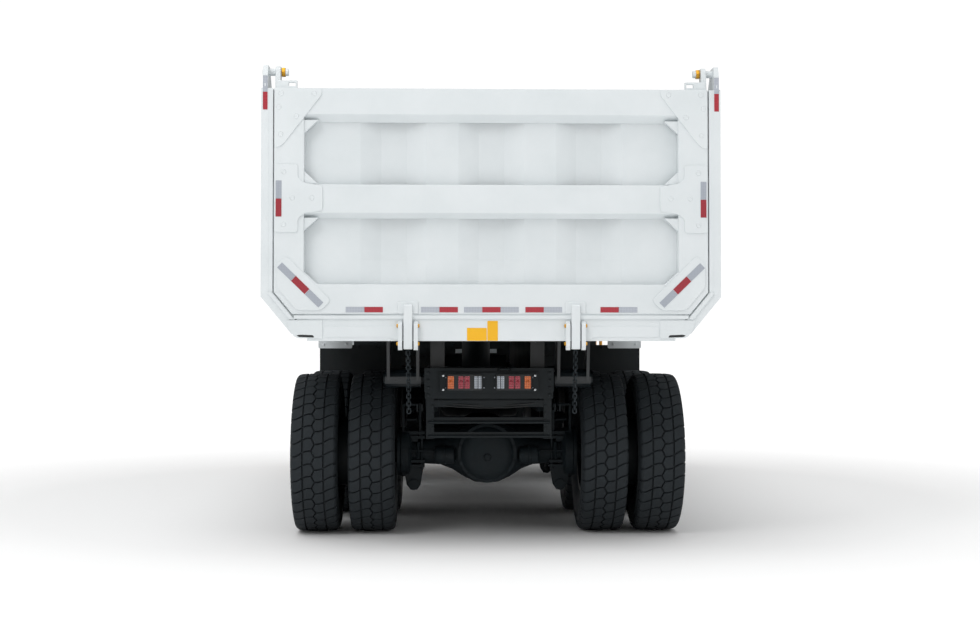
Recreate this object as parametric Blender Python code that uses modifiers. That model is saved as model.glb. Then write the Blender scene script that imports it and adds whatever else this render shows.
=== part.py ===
"""Mining dump truck, 6x4, with a steel tipping bed and a top-hung tailgate.

Metres, +Y towards the truck's front, +X to its right-hand side seen from behind, +Z up. The origin is on
the ground, below the middle of the truck's length and width. Every size that can be set by itself is a
named value below; all the rest is worked out from those.
"""

from math import atan2, cos, hypot, pi, radians, sin, sqrt

import bmesh
import bpy
from mathutils import Matrix, Vector

# ---- clearances ----
FIT = 0.0003  # between faces that touch
RUN = 0.0004  # between a pin's corners and its bore's flats
SWING = 0.010  # beside a piece that swings past another
LAP = 0.012  # how deep welded shapes run into each other

# ---- wheels and axles ----
TYRE_RADIUS = 0.685
TYRE_WIDTH = 0.385
TREAD_WIDTH = 0.350
RIM_RADIUS = 0.335
RIM_BORE = 0.268
TWIN_SPACING = 0.475
REAR_TRACK = 2.42
FRONT_TRACK = 2.75
WHEEL_STEPS = 20
PIN_STEPS = 16
HUB_RADIUS = 0.165
DRUM_RADIUS = 0.215
AXLE_TUBE_RADIUS = 0.11
BANJO_RADIUS = 0.29
REAR_OVERHANG = 1.50
TANDEM_SPACING = 1.55
MIDDLE_TO_FRONT = 3.70
FRONT_OVERHANG = 2.00
KINGPIN_OFFSET = 0.255
KINGPIN_RADIUS = 0.080
TIE_ROD_REACH = 0.22

# ---- chassis ----
FRAME_TOP = 1.38
FRAME_WIDTH = 1.05
RAIL_WIDTH = 0.10
RAIL_HEIGHT = 0.35
TAIL_PLATE_BOTTOM = 1.16
TAIL_PLATE_TOP = 1.41
TIP_HINGE_Z = 1.32
TIP_HINGE_FROM_TAIL = 1.05
FRAME_BEHIND_HINGE = 0.30
TIP_PIN_RADIUS = 0.055
TIP_HUB_RADIUS = 0.078
TIP_HUB_OUTER = 0.875
SPRING_X = 0.645
SPRING_WIDTH = 0.09
SPRING_BOTTOM = 0.88
SPRING_HEIGHT = 0.14
TANK_REACH = 0.86
TANK_BOTTOM = 0.72
MUDFLAP_THICKNESS = 0.02
GUARD_TUBE = 0.025
GUARD_REACH = 1.35

# ---- bed ----
BED_WIDTH = 3.55
BED_TOP = 3.58
FLOOR_TOP = 1.825
FLOOR_PLATE = 0.05
FLOOR_RIB_BOTTOM = 1.655
SILL_BOTTOM = 1.63
SILL_DEPTH = 0.12
CORNER_WIDTH = 0.24
CORNER_FOOT = 1.68
CORNER_TOP = 1.97
SIDE_RIB_DEPTH = 0.045
SIDE_WALL = 0.045
SIDE_RIB_LENGTH = 0.16
SIDE_RIBS = 7
HEAD_SLOPE = 0.35
HEAD_THICKNESS = 0.06
CANOPY_REACH = 2.20
CANOPY_THICKNESS = 0.06

# ---- tailgate ----
GATE_PIN_Z = 3.715
GATE_PIN_FROM_TAIL = 0.10
GATE_PIN_RADIUS = 0.028
GATE_DEPTH = 0.09
GATE_POST = 0.23
GATE_TOP_BEAM = 0.20
GATE_MIDDLE_BEAM_Z = 2.725
GATE_MIDDLE_BEAM = 0.22
GATE_BOTTOM_BEAM = 0.235
GATE_PLATE = 0.014
GROOVE_PITCH = 0.76
GROOVE_WIDTH = 0.51
GROOVE_FLAT = 0.20
GROOVE_DEPTH = 0.05
LOCK_X = 0.645
LOCK_PROUD = 0.05
LOCK_ARM_WIDTH = 0.068
LOCK_ARM_BOTTOM = 1.56
LOCK_CHEEK = 0.032

# ---- tipping cylinder ----
TIP_ANGLE = radians(45)
HOIST_FROM_HINGE = 4.92
HOIST_FOOT_Z = 1.07
HOIST_EYE_Z = 2.85
HOIST_RADIUS = 0.165
HOIST_WALL = 0.028
HOIST_STAGES = 3
HOIST_PIN_RADIUS = 0.04
HOIST_EYE_RADIUS = 0.09
HOIST_LAP = 0.12
HOIST_FOOT_NECK = 0.20
HOIST_SLIDE = 0.0008
HOIST_EYE_PLAY = 0.003
CLEVIS_IN = 0.085
CLEVIS_OUT = 0.110

# ---- front end ----
DECK_TOP = 1.55
DECK_PLATE = 0.05
DECK_HALF = 1.65
CAB_LEFT = -1.60
CAB_WIDTH = 1.30
CAB_LENGTH = 1.55
CAB_TOP = 3.45
CAB_WALL = 0.05
GLASS = 0.008
DOOR_WIDTH = 0.86
BUMPER_BOTTOM = 0.75
BUMPER_DEPTH = 0.35

# ---- places worked out from the sizes above ----
LENGTH = LOCK_PROUD + REAR_OVERHANG + TANDEM_SPACING + MIDDLE_TO_FRONT + FRONT_OVERHANG
TAIL_Y = LOCK_PROUD - LENGTH / 2
FRONT_Y = LENGTH / 2
REAR_AXLE_Y = TAIL_Y + REAR_OVERHANG
MIDDLE_AXLE_Y = REAR_AXLE_Y + TANDEM_SPACING
FRONT_AXLE_Y = MIDDLE_AXLE_Y + MIDDLE_TO_FRONT
AXLE_Z = TYRE_RADIUS * cos(pi / WHEEL_STEPS)  # the tyres stand on a flat of their outline
MUDFLAP_Y = MIDDLE_AXLE_Y + TYRE_RADIUS + 0.10
TRUNNION_Y = (REAR_AXLE_Y + MIDDLE_AXLE_Y) / 2
TIP_HINGE_Y = TAIL_Y + TIP_HINGE_FROM_TAIL
FRAME_REAR_Y = TIP_HINGE_Y - FRAME_BEHIND_HINGE
FRAME_FRONT_Y = FRONT_Y - BUMPER_DEPTH - FIT
RAIL_OUT = FRAME_WIDTH / 2
RAIL_IN = RAIL_OUT - RAIL_WIDTH
RAIL_BOTTOM = FRAME_TOP - RAIL_HEIGHT
HOIST_Y = TIP_HINGE_Y + HOIST_FROM_HINGE
HEAD_FOOT_Y = HOIST_Y - (HOIST_EYE_Z - FLOOR_TOP) * HEAD_SLOPE - HOIST_EYE_RADIUS - 2 * HEAD_THICKNESS + 0.012
GATE_HALF = BED_WIDTH / 2 - SIDE_RIB_DEPTH - SIDE_WALL - SWING
GATE_BOTTOM = FLOOR_TOP + SWING
GATE_PIN_Y = TAIL_Y + GATE_PIN_FROM_TAIL
DECK_REAR_Y = FRONT_AXLE_Y - 0.35
DECK_FRONT_Y = FRONT_Y - 0.15
CAB_FRONT_Y = DECK_FRONT_Y - 0.08
CAB_REAR_Y = CAB_FRONT_Y - CAB_LENGTH
CAB_FLOOR = DECK_TOP + FIT
CAB_RIGHT = CAB_LEFT + CAB_WIDTH
SIDES = {"left": -1, "right": 1}

for old in list(bpy.data.objects):
    bpy.data.objects.remove(old)
truck = bpy.data.collections.new("mining_dump_truck")
cutters = bpy.data.collections.new("cutters")
for collection in (truck, cutters):
    bpy.context.scene.collection.children.link(collection)


# ---- shapes ----
def placed(mesh, location=(0, 0, 0), turn=None):
    """An object for the mesh, at its place."""
    shape = bpy.data.objects.new("shape", mesh)
    shape.location = location
    if turn is not None:
        shape.rotation_euler = turn.to_euler()
    truck.objects.link(shape)
    return shape


def block(x, y, z):
    """A box from (low, high) along each axis."""
    size = [high - low for low, high in (x, y, z)]
    mesh = bpy.data.meshes.new("block")
    form = bmesh.new()
    bmesh.ops.create_cube(form, size=1, matrix=Matrix.Diagonal((*size, 1)))
    form.to_mesh(mesh)
    form.free()
    return placed(mesh, [(low + high) / 2 for low, high in (x, y, z)])


def rod(start, end, radius, end_radius=None, steps=PIN_STEPS):
    """A round bar between two points, with a flat of its outline down when it lies along X or Y."""
    start, end = Vector(start), Vector(end)
    along = end - start
    mesh = bpy.data.meshes.new("rod")
    form = bmesh.new()
    bmesh.ops.create_cone(
        form,
        cap_ends=True,
        segments=steps,
        radius1=radius,
        radius2=radius if end_radius is None else end_radius,
        depth=along.length,
        matrix=Matrix.Rotation(pi / steps, 4, "Z"),
    )
    form.to_mesh(mesh)
    form.free()
    return placed(mesh, (start + end) / 2, along.to_track_quat("Z", "Y").to_matrix())


def bored(radius):
    """The corner radius of a bore that turns freely on a pin."""
    return radius / cos(pi / PIN_STEPS) + RUN


def meshed(curve):
    """The curve object as a mesh object in the same place, with its caps welded."""
    bpy.context.view_layer.update()
    graph = bpy.context.evaluated_depsgraph_get()
    mesh = bpy.data.meshes.new_from_object(curve.evaluated_get(graph))
    form = bmesh.new()
    form.from_mesh(mesh)
    bmesh.ops.remove_doubles(form, verts=form.verts, dist=1e-6)
    bmesh.ops.recalc_face_normals(form, faces=form.faces)
    form.to_mesh(mesh)
    form.free()
    shape = bpy.data.objects.new("shape", mesh)
    shape.matrix_world = curve.matrix_world
    truck.objects.link(shape)
    bpy.data.objects.remove(curve)
    return shape


PLANES = {  # which way an outline's own x, y and thickness point
    "X": Matrix(((0, 0, 1), (1, 0, 0), (0, 1, 0))),
    "Y": Matrix(((1, 0, 0), (0, 0, -1), (0, 1, 0))),
    "Z": Matrix.Identity(3),
}


def plate(plane, low, high, *outlines):
    """A flat piece across one axis, from low to high on it. The first outline is its edge, the rest its holes.

    Outlines are (y, z) across X, (x, z) across Y and (x, y) across Z.
    """
    curve = bpy.data.curves.new("plate", "CURVE")
    curve.dimensions = "2D"
    curve.fill_mode = "BOTH"
    curve.extrude = (high - low) / 2
    for outline in outlines:
        spline = curve.splines.new("POLY")
        spline.points.add(len(outline) - 1)
        spline.use_cyclic_u = True
        for point, (u, v) in zip(spline.points, outline):
            point.co = (u, v, 0, 1)
    shape = bpy.data.objects.new("plate", curve)
    shape.matrix_world = PLANES[plane].to_4x4()
    shape.location["XYZ".index(plane)] = (low + high) / 2
    truck.objects.link(shape)
    return meshed(shape)


def pipe(points, radius):
    """A bent tube, as a bevelled curve with filled caps."""
    curve = bpy.data.curves.new("pipe", "CURVE")
    curve.dimensions = "3D"
    curve.bevel_depth = radius
    curve.bevel_resolution = 1
    curve.use_fill_caps = True
    spline = curve.splines.new("POLY")
    spline.points.add(len(points) - 1)
    for point, place in zip(spline.points, points):
        point.co = (*place, 1)
    shape = bpy.data.objects.new("pipe", curve)
    truck.objects.link(shape)
    return meshed(shape)


def turned(profile, centre, axis="X", steps=WHEEL_STEPS):
    """A turned shape about a line along X, Y or Z through the centre. The profile is (radius, along)."""
    mesh = bpy.data.meshes.new("turned")
    form = bmesh.new()
    corners = [form.verts.new((radius, 0, along)) for radius, along in profile]
    for here, there in zip(corners, corners[1:] + corners[:1]):
        on_axis = here.co.x == 0 and there.co.x == 0
        if not on_axis:
            form.edges.new((here, there))
    form.to_mesh(mesh)
    form.free()
    first = Matrix.Rotation(pi / steps, 3, "Z")
    lay = {"X": Matrix(((0, 0, 1), (1, 0, 0), (0, 1, 0))), "Y": Matrix(((1, 0, 0), (0, 0, 1), (0, -1, 0)))}
    turn = lay.get(axis, Matrix.Identity(3)) @ first
    shape = placed(mesh, centre, turn)
    screw = shape.modifiers.new("Screw", "SCREW")
    screw.axis = "Z"
    screw.steps = screw.render_steps = steps
    screw.use_merge_vertices = True
    screw.merge_threshold = 0.00001
    return meshed(shape)


def joined(first, *others, solver="EXACT"):
    """The first shape with the others welded on, by Boolean unions."""
    for other in others:
        join(first, other, "UNION", solver)
    return first


def cut(shape, *tools, solver="EXACT"):
    for tool in tools:
        join(shape, tool, "DIFFERENCE", solver)
    return shape


def join(shape, other, operation, solver):
    modifier = shape.modifiers.new(operation.title(), "BOOLEAN")
    modifier.operation = operation
    modifier.solver = solver
    modifier.object = other
    truck.objects.unlink(other)
    cutters.objects.link(other)
    other.hide_render = True
    other.display_type = "WIRE"


def mirrored(outline, side):
    return [(side * u, v) for u, v in outline]


def span(side, low, high):
    """The (low, high) of a stretch of X on one side of the truck."""
    return (side * low, side * high) if side > 0 else (side * high, side * low)


# ---- finishes, and what each piece hangs on ----
def finish(name, colour, roughness, metallic=0.0, alpha=1.0):
    material = bpy.data.materials.new(name)
    material.use_nodes = True
    shader = material.node_tree.nodes["Principled BSDF"]
    shader.inputs["Base Color"].default_value = (*colour, 1)
    shader.inputs["Roughness"].default_value = roughness
    shader.inputs["Metallic"].default_value = metallic
    shader.inputs["Alpha"].default_value = alpha
    return material


WHITE = (finish, (0.75, 0.78, 0.79), 0.42)
BLACK = (finish, (0.02, 0.025, 0.03), 0.5)
RUBBER = (finish, (0.014, 0.018, 0.021), 0.85)
STEEL = (finish, (0.55, 0.56, 0.57), 0.3, 1.0)
CLEAR = (finish, (0.6, 0.72, 0.75), 0.05, 0.0, 0.35)
CLOTH = (finish, (0.05, 0.05, 0.055), 0.9)
YELLOW = (finish, (0.75, 0.42, 0.02), 0.45)


def holder(name, place, above=None):
    """An empty on a joint's axis."""
    empty = bpy.data.objects.new(name, None)
    truck.objects.link(empty)
    hang(empty, above)
    empty.location = place
    return empty


def hang(shape, above):
    if above is None:
        return
    shape.parent = above
    shape.matrix_parent_inverse = Matrix.Translation(-Vector(above.location))


def node(name, shape, look, above=None):
    make, *values = look
    shape.name = shape.data.name = name
    shape.data.materials.clear()
    shape.data.materials.append(make(name, *values))
    shape.data.shade_smooth()
    shape.data.set_sharp_from_angle(angle=radians(30))
    hang(shape, above)
    return shape


# ---- chassis ----
def main_frame():
    """Two rails with crossmembers, the tail plate, the tipping shaft and the cylinder's cradle."""
    rear_slope = TIP_HINGE_Y + 0.25
    outline = [
        (FRAME_REAR_Y, TAIL_PLATE_BOTTOM),
        (FRAME_REAR_Y + 0.12, TAIL_PLATE_BOTTOM),
        (rear_slope, RAIL_BOTTOM),
        (FRAME_FRONT_Y, RAIL_BOTTOM),
        (FRAME_FRONT_Y, FRAME_TOP),
        (FRAME_REAR_Y, FRAME_TOP),
    ]
    rails = [plate("X", *span(side, RAIL_IN, RAIL_OUT), outline) for side in SIDES.values()]
    inside = (-RAIL_IN - LAP, RAIL_IN + LAP)
    crossings = (
        TIP_HINGE_Y + 0.40,
        TRUNNION_Y,
        MIDDLE_AXLE_Y + 0.55,
        HOIST_Y - 0.55,
    )
    members = [block(inside, (y - 0.06, y + 0.06), (RAIL_BOTTOM + 0.04, FRAME_TOP - 0.04)) for y in crossings]
    members.append(block(inside, (FRAME_FRONT_Y - 0.10, FRAME_FRONT_Y - 0.01), (RAIL_BOTTOM + 0.03, FRAME_TOP - 0.03)))
    corner = 0.06
    tail = plate(
        "Y",
        FRAME_REAR_Y - 0.012,
        FRAME_REAR_Y + LAP,
        [
            (-RAIL_OUT - 0.005, TAIL_PLATE_TOP),
            (-RAIL_OUT - 0.005, TAIL_PLATE_BOTTOM + corner),
            (-RAIL_OUT + corner, TAIL_PLATE_BOTTOM),
            (RAIL_OUT - corner, TAIL_PLATE_BOTTOM),
            (RAIL_OUT + 0.005, TAIL_PLATE_BOTTOM + corner),
            (RAIL_OUT + 0.005, TAIL_PLATE_TOP),
        ],
    )
    shaft = rod((-TIP_HUB_OUTER, TIP_HINGE_Y, TIP_HINGE_Z), (TIP_HUB_OUTER, TIP_HINGE_Y, TIP_HINGE_Z), TIP_PIN_RADIUS)
    guards = []
    for side in SIDES.values():
        y = MUDFLAP_Y + MUDFLAP_THICKNESS + GUARD_TUBE * cos(pi / 12) + FIT
        start, end = (side * (RAIL_OUT - LAP), y, 1.33), (side * GUARD_REACH, y, 1.44)
        guards.append(rod(start, end, GUARD_TUBE, steps=12))
    foot = HOIST_FOOT_Z - HOIST_EYE_RADIUS - 0.02
    cradle = [block((-RAIL_OUT + 0.02, RAIL_OUT - 0.02), (HOIST_Y - 0.13, HOIST_Y + 0.13), (foot - 0.07, foot))]
    for side in SIDES.values():
        cradle.append(block(span(side, RAIL_IN + 0.02, RAIL_OUT - 0.02), (HOIST_Y - 0.12, HOIST_Y + 0.12), (foot - 0.05, RAIL_BOTTOM + LAP)))
        cradle.append(block(span(side, CLEVIS_IN, CLEVIS_OUT), (HOIST_Y - 0.10, HOIST_Y + 0.10), (foot - 0.02, HOIST_FOOT_Z + 0.07)))
    pin = CLEVIS_OUT + 0.015
    cradle.append(rod((-pin, HOIST_Y, HOIST_FOOT_Z), (pin, HOIST_Y, HOIST_FOOT_Z), HOIST_PIN_RADIUS))
    frame = joined(*rails[:1], members[0], rails[1], *members[1:], tail, shaft, *guards, *cradle)
    node("main_frame", frame, BLACK)


def lamp_panel():
    low, high = 1.21, 1.375
    rear = FRAME_REAR_Y - 0.012 - FIT
    node("lamp_panel", block((-0.405, 0.405), (rear - 0.03, rear), (low, high)), BLACK)


def underrun_guard():
    """The ladder-shaped guard below the tail plate."""
    y = (FRAME_REAR_Y + 0.03, FRAME_REAR_Y + 0.08)
    top, bottom = TAIL_PLATE_BOTTOM - FIT, 0.83
    posts = [block(span(side, 0.45, 0.515), y, (bottom, top)) for side in SIDES.values()]
    inner = (y[0] + 0.006, y[1] - 0.006)
    bars = [block((-0.48, 0.48), inner, z) for z in ((1.09, 1.145), (0.972, 1.005), (0.848, 0.884))]
    node("underrun_guard", joined(posts[0], bars[0], posts[1], *bars[1:]), BLACK)


def drive_axle(name, y, cover_side):
    """A banjo axle: tapered arms, drums, round cover and pinion nose, with a guided seat for each spring."""
    half = REAR_TRACK / 2
    end = half - 0.04 - FIT
    inner = half - TWIN_SPACING / 2 - TYRE_WIDTH / 2
    arm = [(0.0, end), (DRUM_RADIUS, end), (DRUM_RADIUS, inner + 0.06), (0.17, inner + 0.02), (AXLE_TUBE_RADIUS, inner)]
    arm += [(AXLE_TUBE_RADIUS, 0.56), (0.205, 0.26), (0.265, 0.12)]
    profile = arm + [(BANJO_RADIUS, 0.0)] + [(radius, -along) for radius, along in reversed(arm)]
    beam = turned(profile, (0, y, AXLE_Z), steps=16)
    cover = turned([(0, 0.33), (0.13, 0.32), (0.22, 0.25), (0.24, 0.0), (0, 0.0)], (0, y, AXLE_Z), "Y", 16)
    cover.rotation_euler.z += pi if cover_side < 0 else 0
    nose = rod((0, y, AXLE_Z), (0, y - cover_side * 0.40, AXLE_Z), 0.15, 0.09, 16)
    extras = [cover, nose]
    for side in SIDES.values():
        seat_x = span(side, SPRING_X - SPRING_WIDTH / 2 - 0.035, SPRING_X + SPRING_WIDTH / 2 + 0.035)
        extras.append(block(seat_x, (y - 0.13, y + 0.13), (AXLE_Z, SPRING_BOTTOM - FIT)))
        for edge in (-1, 1):
            x = side * SPRING_X + edge * (SPRING_WIDTH / 2 + 0.0225)
            extras.append(block((x - 0.0125, x + 0.0125), (y - 0.10, y + 0.10), (SPRING_BOTTOM - 0.03, 1.06)))
        extras.append(block((seat_x[0], seat_x[1]), (y - 0.09, y + 0.09), (1.045, 1.075)))
    node(name, joined(beam, *extras), BLACK)


def balance_suspension():
    """Two leaf packs on one cross shaft, hung from the rails between the drive axles."""
    shaft_z = SPRING_BOTTOM - 0.06
    shaft = rod((-SPRING_X - 0.08, TRUNNION_Y, shaft_z), (SPRING_X + 0.08, TRUNNION_Y, shaft_z), 0.065, steps=20)
    half = TANDEM_SPACING / 2 + 0.10
    packs = []
    for side in SIDES.values():
        x = span(side, SPRING_X - SPRING_WIDTH / 2, SPRING_X + SPRING_WIDTH / 2)
        top = SPRING_BOTTOM + SPRING_HEIGHT
        low = SPRING_BOTTOM
        outline = [(-half, low), (half, low), (half, top - 0.05), (0.35, top), (-0.35, top), (-half, top - 0.05)]
        packs.append(plate("X", *x, [(TRUNNION_Y + u, v) for u, v in outline]))
        saddle = span(side, SPRING_X - 0.085, SPRING_X + 0.085)
        packs.append(block(saddle, (TRUNNION_Y - 0.16, TRUNNION_Y + 0.16), (shaft_z - 0.09, top + 0.03)))
        bracket = span(side, RAIL_IN + 0.01, RAIL_OUT - 0.01)
        packs.append(block(bracket, (TRUNNION_Y - 0.20, TRUNNION_Y + 0.20), (shaft_z - 0.10, RAIL_BOTTOM - FIT)))
    node("balance_suspension", joined(shaft, *packs), BLACK)


def front_axle():
    """A dropped beam with a boss for each kingpin and a leaf pack under each rail."""
    half = FRONT_TRACK / 2 - KINGPIN_OFFSET
    y = FRONT_AXLE_Y
    beam = block((-half + 0.30, half - 0.30), (y - 0.07, y + 0.07), (AXLE_Z - 0.13, AXLE_Z + 0.03))
    extras = []
    for side in SIDES.values():
        x = span(side, half - 0.36, half)
        extras.append(block(x, (y - 0.055, y + 0.055), (AXLE_Z - 0.09, AXLE_Z + 0.08)))
        extras.append(rod((side * half, y, AXLE_Z - 0.10), (side * half, y, AXLE_Z + 0.10), KINGPIN_RADIUS, steps=16))
        leaf = span(side, RAIL_IN, RAIL_IN + SPRING_WIDTH)
        reach = 0.60
        outline = [(y - reach, 0.88), (y - 0.25, 0.74), (y + 0.25, 0.74), (y + reach, 0.88), (y + reach, 0.93)]
        outline += [(y + 0.25, 0.83), (y - 0.25, 0.83), (y - reach, 0.93)]
        extras.append(plate("X", *leaf, outline))
        extras.append(block(leaf, (y - 0.09, y + 0.09), (AXLE_Z, 0.80)))
        for end in (-0.56, 0.56):
            extras.append(block((leaf[0] - 0.01, leaf[1] + 0.01), (y + end - 0.05, y + end + 0.05), (0.86, RAIL_BOTTOM - FIT)))
    node("front_axle", joined(beam, *extras), BLACK)


def engine():
    front, rear = FRONT_AXLE_Y + 1.15, FRONT_AXLE_Y - 0.15
    heart = block((-0.38, 0.38), (rear, front), (0.93, DECK_TOP - DECK_PLATE - 0.02))
    gearbox = block((-0.24, 0.24), (rear - 0.36, rear + LAP), (0.78, 1.18))
    mounts = [block((-RAIL_IN + FIT, RAIL_IN - FIT), (y - 0.04, y + 0.04), (1.10, 1.22)) for y in (rear + 0.15, front - 0.15)]
    node("engine_block", joined(heart, gearbox, *mounts), BLACK)


def prop_shafts():
    nose, cover = 0.40 + FIT, 0.33 + FIT
    radius, gearbox_z = 0.055, 0.80
    gearbox_y = FRONT_AXLE_Y - 0.51
    tilt = radius * (gearbox_z - AXLE_Z) / (gearbox_y - MIDDLE_AXLE_Y - nose)
    start, end = (0, MIDDLE_AXLE_Y + nose + tilt, AXLE_Z), (0, gearbox_y - FIT - tilt, gearbox_z)
    node("propeller_shaft", rod(start, end, radius, steps=16), BLACK)
    short = rod((0, REAR_AXLE_Y + nose, AXLE_Z), (0, MIDDLE_AXLE_Y - cover, AXLE_Z), 0.045, steps=16)
    node("interaxle_shaft", short, BLACK)


def rounded_tank(name, side, y, top, look):
    """A box tank with round long edges, bolted to the outside of one rail."""
    x = span(side, RAIL_OUT + FIT, RAIL_OUT + TANK_REACH)
    tank = block(x, y, (TANK_BOTTOM, top))
    bevel = tank.modifiers.new("Bevel", "BEVEL")
    bevel.width = 0.06
    bevel.segments = 2
    node(name, tank, look)


def tanks():
    front = FRONT_AXLE_Y - 1.12
    rear = MUDFLAP_Y + 0.16
    middle = (front + rear) / 2
    rounded_tank("fuel_tank", 1, (rear, front), 1.34, BLACK)
    rounded_tank("hydraulic_tank", -1, (middle + 0.04, front), 1.34, BLACK)
    rounded_tank("battery_box", -1, (rear, middle - 0.04), 1.20, BLACK)


def mudguards():
    """A hanging flap ahead of each middle wheel, on a tube from the rail."""
    for name, side in SIDES.items():
        outer, inner = 1.64, 0.80
        x = span(side, inner, outer)
        flap = block(x, (MUDFLAP_Y, MUDFLAP_Y + MUDFLAP_THICKNESS), (0.48, 1.60))
        strip = block(span(side, 1.20, outer + 0.02), (MUDFLAP_Y - 0.008, MUDFLAP_Y + 0.015), (1.562, 1.648))
        node(f"mudflap_{name}", joined(flap, strip), RUBBER)


# ---- wheels ----
def tyre_outline(middle, rim_radius):
    """(radius, along) round a tyre's outside, from the rim on one side of it to the other."""
    half, tread = TYRE_WIDTH / 2, TREAD_WIDTH / 2
    middle_radius = (TYRE_RADIUS + rim_radius) / 2
    near = [
        (rim_radius, middle + half * 0.72),
        (middle_radius, middle + half),
        (TYRE_RADIUS - 0.022, middle + tread),
        (TYRE_RADIUS, middle + tread * 0.90),
    ]
    return near + [(radius, 2 * middle - along) for radius, along in reversed(near)]


def twin_wheels(name, side, y):
    """Two tyres on their joined rims, with the hub's disc and reduction gear case."""
    half = REAR_TRACK / 2
    near, far = half - TWIN_SPACING / 2, half + TWIN_SPACING / 2
    rim = TYRE_WIDTH * 0.36
    profile = [(0, half + 0.36), (0.10, half + 0.36), (HUB_RADIUS, half + 0.29), (HUB_RADIUS, half + 0.02)]
    profile += [(RIM_BORE, half + 0.02), (RIM_BORE, far + rim + 0.012), (RIM_RADIUS, far + rim + 0.012)]
    profile += tyre_outline(far, RIM_RADIUS + 0.002)
    profile += [(0.305, far - rim + 0.01), (0.305, near + rim - 0.01)]
    profile += tyre_outline(near, RIM_RADIUS + 0.002)
    profile += [(RIM_RADIUS, near - rim - 0.012), (RIM_BORE, near - rim - 0.012), (RIM_BORE, half - 0.04), (0, half - 0.04)]
    wheels = turned([(radius, side * along) for radius, along in profile], (0, y, AXLE_Z))
    node(name, wheels, RUBBER, holder(f"{name}_axis", (side * half, y, AXLE_Z)))


def steered_wheel(name, side):
    """The kingpin's holder, the knuckle that turns on it, and the tyre and rim on its stub."""
    half = FRONT_TRACK / 2
    pin_x = half - KINGPIN_OFFSET
    y = FRONT_AXLE_Y
    kingpin = holder(f"kingpin_{name}", (side * pin_x, y, AXLE_Z))
    fork_x = span(side, pin_x - 0.09, pin_x + 0.15)
    hub_face = half - 0.05
    web = block(span(side, pin_x + KINGPIN_RADIUS + 0.03, pin_x + 0.15), (y - 0.08, y + 0.08), (AXLE_Z - 0.15, AXLE_Z + 0.15))
    fork = [block(fork_x, (y - 0.085, y + 0.085), z) for z in (
        (AXLE_Z + 0.10 + FIT, AXLE_Z + 0.155), (AXLE_Z - 0.155, AXLE_Z - 0.10 - FIT))]
    stub = rod((side * (pin_x + 0.12), y, AXLE_Z), (side * (hub_face - FIT), y, AXLE_Z), 0.10, steps=20)
    arm_z = (AXLE_Z - 0.15, AXLE_Z - 0.12)
    arm = block(span(side, pin_x - 0.075, pin_x - 0.005), (y - TIE_ROD_REACH - 0.035, y - 0.06), arm_z)
    node(f"steering_knuckle_{name}", joined(web, *fork, stub, arm), BLACK, kingpin)

    spindle = holder(f"front_hub_{name}", (side * half, y, AXLE_Z), kingpin)
    rim = TYRE_WIDTH * 0.36
    profile = [(0, half + 0.17), (0.09, half + 0.17), (0.13, half + 0.13), (0.15, half - 0.01), (RIM_BORE, half + 0.05)]
    profile += [(RIM_BORE, half + rim + 0.012), (RIM_RADIUS, half + rim + 0.012), (RIM_RADIUS, half + rim)]
    profile += [(0.315, half), (RIM_RADIUS, half - rim), (RIM_RADIUS, half - rim - 0.012)]
    profile += [(RIM_BORE, half - rim - 0.012), (RIM_BORE, half - 0.01), (0.15, half - 0.05), (0, half - 0.05)]
    wheel = turned([(radius, side * along) for radius, along in profile], (0, y, AXLE_Z))
    node(f"front_rim_{name}", wheel, WHITE, spindle)
    seat = RIM_RADIUS + FIT
    inside = [(seat, half - rim), (0.315 + FIT * 1.2, half), (seat, half + rim)]
    ring = tyre_outline(half, seat) + inside[1:2]
    tyre = turned([(radius, side * along) for radius, along in ring], (0, y, AXLE_Z))
    node(f"front_tyre_{name}", tyre, RUBBER, spindle)


def tie_rod():
    """The bar between the two steering arms, resting on them behind the axle."""
    x = FRONT_TRACK / 2 - KINGPIN_OFFSET - 0.04
    y = FRONT_AXLE_Y - TIE_ROD_REACH
    low = AXLE_Z - 0.12 + FIT
    bar = rod((-x, y, low + 0.03), (x, y, low + 0.03), 0.022, steps=12)
    ends = [rod((side * x, y, low), (side * x, y, low + 0.06), 0.035, steps=16) for side in SIDES.values()]
    node("tie_rod", joined(bar, *ends), BLACK)


# ---- bed ----
def corner_line(inset):
    """The outer line of a bed side, set in: its knee's (x, z), and x on its slanted foot at a height."""
    wide, high = CORNER_WIDTH, CORNER_TOP - CORNER_FOOT
    knee_x = BED_WIDTH / 2 - inset
    knee_z = CORNER_TOP + inset * (hypot(wide, high) - high) / wide

    def x_at(z):
        return knee_x - (knee_z - z) * wide / high

    return knee_x, knee_z, x_at


def side_outline(outer, inner, short=0.0):
    """The section of a bed side between two insets, its ends short of the rail and the floor by so much."""
    outer_x, outer_z, outer_at = corner_line(outer)
    inner_x, inner_z, inner_at = corner_line(inner)
    foot, top = CORNER_FOOT + short, BED_TOP - 0.004 - short
    return [
        (outer_x, top),
        (outer_x, outer_z),
        (outer_at(foot), foot),
        (inner_at(foot), foot),
        (inner_x, inner_z),
        (inner_x, top),
    ]


def head_y(z):
    """Where the sloping headboard's rear face is at a height."""
    return HEAD_FOOT_Y + (z - FLOOR_TOP) * HEAD_SLOPE


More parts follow.
